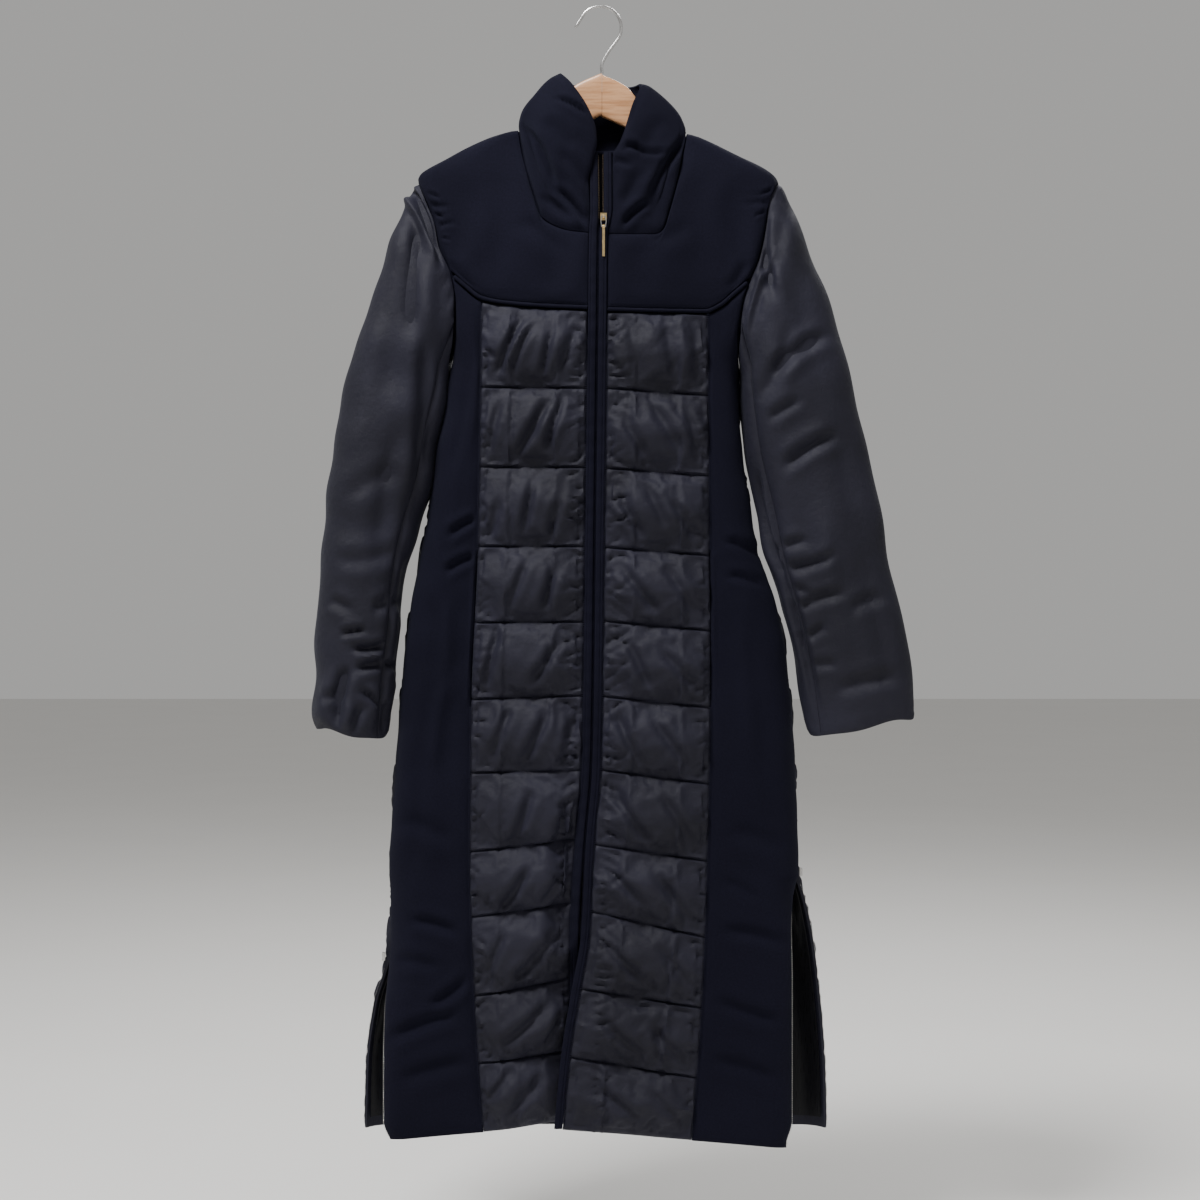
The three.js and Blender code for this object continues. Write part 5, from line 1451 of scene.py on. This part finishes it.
def build_hook():
    """Wire hook: a short stem, an easy bend and rather more than half a circle with a flared tip."""
    peak = ARM_TOP[0][1]
    angles = np.radians(np.linspace(-28, 180, 10))
    flare = np.where(np.arange(10) == 9, 4, 0)
    bend = np.stack([(HOOK_R + flare) * np.cos(angles), 0 * angles,
                     WIRE_R - HOOK_R + HOOK_R * np.sin(angles)], -1)
    stem = [(MITRE_X, 0, peak + SEAM), (MITRE_X, 0, peak + WIRE_R + SEAM + 9), (9, 0, -50)]
    points = np.concatenate([stem, bend])
    path = path_at(points, np.linspace(0, 1, 120))
    radius = np.full(len(path), WIRE_R)
    radius[-3:] *= (0.95, 0.8, 0.45)
    add_tube("hanger_hook", rings_along(path, radius, 16), "steel")


def dress_node(name, finish):
    """Gives a node of the frame a procedural finish."""
    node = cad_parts[name]
    node.data.materials.clear()
    node.data.materials.append(FINISHES[finish])


# Settings, operators and panel


class CoatFinishes(bpy.types.PropertyGroup):
    """Colours of the coat's cloths and of its hanger."""

    nylon: FloatVectorProperty(name="Nylon", description="Colour of the quilts, back and sleeves",
                               default=(0.0128, 0.0124, 0.0222), subtype="COLOR", min=0, max=1)
    wool: FloatVectorProperty(name="Wool", description="Colour of the yokes, collar and side panels",
                              default=(0.0064, 0.0062, 0.0132), subtype="COLOR", min=0, max=1)
    satin: FloatVectorProperty(name="Satin", description="Colour of the lining",
                               default=(0.006, 0.006, 0.0075), subtype="COLOR", min=0, max=1)
    wood: FloatVectorProperty(name="Wood", description="Colour of the hanger", default=(0.56, 0.3, 0.15),
                              subtype="COLOR", min=0, max=1)
    floor: FloatVectorProperty(name="Floor", description="Colour of the floor", default=(0.8, 0.79, 0.77),
                               subtype="COLOR", min=0, max=1)


class CoatShapes(bpy.types.PropertyGroup):
    """Fullness of the padding and depth of the folds."""

    puff: FloatProperty(name="Puff", description="Height of a quilted channel in millimetres", default=12.0,
                        min=2.0, max=14.0)
    crease: FloatProperty(name="Crease depth", description="Depth of the hand-placed folds, as a share",
                          default=1.5, min=0.0, max=2.0)
    fullness: FloatProperty(name="Fullness", default=0.045, min=0.0, max=0.15,
                            description="How much larger the quilted cloth is cut, as a share")
    pressure: FloatProperty(name="Filling", description="Pressure of the filling on the quilted cloth",
                            default=0.3, min=0.0, max=3.0)


class CoatStage(bpy.types.PropertyGroup):
    """Light and floor round the coat."""

    key: FloatProperty(name="Key light", description="Power of the main light", default=122.0, unit="POWER")
    fill: FloatProperty(name="Fill light", description="Power of the soft light from the other side",
                        default=6.0, unit="POWER")
    rear: FloatProperty(name="Rear light", description="Power of the light on the back", default=50.0,
                        unit="POWER")
    sky: FloatProperty(name="Surround", description="Strength of the pale surround", default=0.44, min=0)
    floor_z: FloatProperty(name="Floor height", description="Height of the floor", default=-1.42,
                           unit="LENGTH")
    lamps: IntProperty(name="Lamps", description="Number of soft lights", default=3, min=1, max=3)


class COAT_OT_finishes(bpy.types.Operator):
    """Make the materials"""

    bl_idname = "coat.finishes"
    bl_label = "Materials"

    def execute(self, context):
        """Makes every material from the colours in the panel."""
        settings = context.scene.coat_finishes
        for make in (nylon_surface, wool_surface, satin_surface, wood_surface, thread_surface, floor_surface):
            make(settings)
        metal_surface("brass", (0.78, 0.58, 0.3), 0.24, 0.42)
        metal_surface("steel", (0.62, 0.61, 0.6), 0.18, 0.36)
        metal_surface("teeth", (0.13, 0.1, 0.07), 0.3, 0.5)
        return {"FINISHED"}


class COAT_OT_front(bpy.types.Operator):
    """Build the quilted fronts, yokes and side panels"""

    bl_idname = "coat.front"
    bl_label = "Front"

    def execute(self, context):
        """Builds both fronts with their piping."""
        settings = context.scene.coat_shapes
        for side in SIGN:
            build_quilt(side, settings)
            build_yoke(side, settings)
            build_side_panel(side, settings)
            build_piping(side)
        return {"FINISHED"}


class COAT_OT_zip(bpy.types.Operator):
    """Build the placket, zip tapes and teeth"""

    bl_idname = "coat.zip"
    bl_label = "Zip"

    def execute(self, context):
        """Builds the closure and finishes its slider and pull."""
        for side in SIGN:
            build_placket(side)
            build_tape(side)
        build_teeth()
        dress_node("zip_slider", "brass")
        dress_node("pull_link", "steel")
        dress_node("pull_bar", "brass")
        return {"FINISHED"}


class COAT_OT_back(bpy.types.Operator):
    """Build the padded back and its lining"""

    bl_idname = "coat.back"
    bl_label = "Back"

    def execute(self, context):
        """Builds the back, the lining that the slits show, and the slits' zips."""
        settings = context.scene.coat_shapes
        build_back(settings)
        build_lining()
        build_slit_zips()
        for side in SIGN:
            dress_node(f"side_slider_{side}", "steel")
        return {"FINISHED"}


class COAT_OT_collar(bpy.types.Operator):
    """Build the stand collar"""

    bl_idname = "coat.collar"
    bl_label = "Collar"

    def execute(self, context):
        """Builds the padded collar."""
        build_collar(context.scene.coat_shapes)
        return {"FINISHED"}


class COAT_OT_sleeves(bpy.types.Operator):
    """Build the sleeves"""

    bl_idname = "coat.sleeves"
    bl_label = "Sleeves"

    def execute(self, context):
        """Builds both two-piece sleeves."""
        for side in SIGN:
            build_sleeve(side, context.scene.coat_shapes)
            build_bindings(side)
        return {"FINISHED"}


class COAT_OT_stitches(bpy.types.Operator):
    """Build the ladder stitches"""

    bl_idname = "coat.stitches"
    bl_label = "Stitches"

    def execute(self, context):
        """Builds the stitches over the seams."""
        build_stitches()
        return {"FINISHED"}


class COAT_OT_hanger(bpy.types.Operator):
    """Build the hanger"""

    bl_idname = "coat.hanger"
    bl_label = "Hanger"

    def execute(self, context):
        """Builds the wooden arms and the wire hook."""
        for side in SIGN:
            build_hanger(side)
        build_hook()
        return {"FINISHED"}


def add_lamp(name, place, target, size, power):
    """Square soft light that faces a target."""
    lamp = bpy.data.lights.new(name, "AREA")
    lamp.shape = "SQUARE"
    lamp.size = size
    lamp.energy = power
    holder = bpy.data.objects.new(name, lamp)
    holder.location = place
    holder.rotation_euler = (Vector(target) - Vector(place)).to_track_quat("-Z", "Y").to_euler()
    bpy.context.scene.collection.objects.link(holder)


class COAT_OT_stage(bpy.types.Operator):
    """Set up the floor, lights and camera"""

    bl_idname = "coat.stage"
    bl_label = "Stage"

    def execute(self, context):
        """Makes a pale floor, soft lights and the camera at the picture's angle."""
        settings = context.scene.coat_stage
        reach = 14.0
        mesh = bpy.data.meshes.new("floor")
        corners = [(x * reach, y * reach, settings.floor_z) for x, y in ((-1, -1), (1, -1), (1, 1), (-1, 1))]
        mesh.from_pydata(corners, [], [(0, 1, 2, 3)])
        mesh.materials.append(FINISHES["floor"])
        floor = bpy.data.objects.new("floor", mesh)
        context.scene.collection.objects.link(floor)
        middle = (0, 0, -0.6)
        lamps = [("key", (-0.9, -1.2, 1.8), 0.7, settings.key),
                 ("fill", (2.2, -1.9, 0.1), 1.6, settings.fill),
                 ("rear", (0.9, 1.6, 1.6), 1.0, settings.rear)]
        for name, place, size, power in lamps[:settings.lamps]:
            add_lamp(name, place, middle, size, power)
        world = bpy.data.worlds.new("surround")
        world.use_nodes = True
        background = world.node_tree.nodes["Background"]
        background.inputs["Color"].default_value = (0.93, 0.92, 0.9, 1)
        background.inputs["Strength"].default_value = settings.sky
        context.scene.world = world
        camera = bpy.data.cameras.new("camera")
        camera.sensor_width = 36
        camera.lens = FOCAL_PX / IMAGE_PX * camera.sensor_width
        holder = bpy.data.objects.new("camera", camera)
        holder.location = [value * MM for value in CAMERA_AT]
        holder.rotation_euler = (np.pi / 2, 0, 0)
        context.scene.collection.objects.link(holder)
        context.scene.camera = holder
        return {"FINISHED"}


OPERATORS = (COAT_OT_finishes, COAT_OT_stage, COAT_OT_hanger, COAT_OT_front, COAT_OT_zip, COAT_OT_back,
             COAT_OT_collar, COAT_OT_sleeves, COAT_OT_stitches)


class COAT_PT_panel(bpy.types.Panel):
    """Lists the coat's settings and pieces"""

    bl_idname = "COAT_PT_panel"
    bl_label = "Long Puffer Coat"
    bl_space_type = "VIEW_3D"
    bl_region_type = "UI"
    bl_category = "Coat"

    def draw(self, context):
        """Draws the settings, then a button for each group of pieces."""
        for group in (context.scene.coat_finishes, context.scene.coat_shapes, context.scene.coat_stage):
            box = self.layout.box()
            for key in group.__annotations__:
                box.prop(group, key)
        for operator in OPERATORS:
            self.layout.operator(operator.bl_idname)


CLASSES = (CoatFinishes, CoatShapes, CoatStage, *OPERATORS, COAT_PT_panel)


def register():
    """Registers the classes and the scene's settings."""
    for item in CLASSES:
        bpy.utils.register_class(item)
    bpy.types.Scene.coat_finishes = PointerProperty(type=CoatFinishes)
    bpy.types.Scene.coat_shapes = PointerProperty(type=CoatShapes)
    bpy.types.Scene.coat_stage = PointerProperty(type=CoatStage)


def unregister():
    """Takes the settings and classes away again."""
    for name in ("coat_finishes", "coat_shapes", "coat_stage"):
        delattr(bpy.types.Scene, name)
    for item in reversed(CLASSES):
        bpy.utils.unregister_class(item)


def main():
    """Builds the coat."""
    register()
    for operator in OPERATORS:
        getattr(bpy.ops.coat, operator.bl_idname.split(".")[1])()


if __name__ == "__main__":
    main()
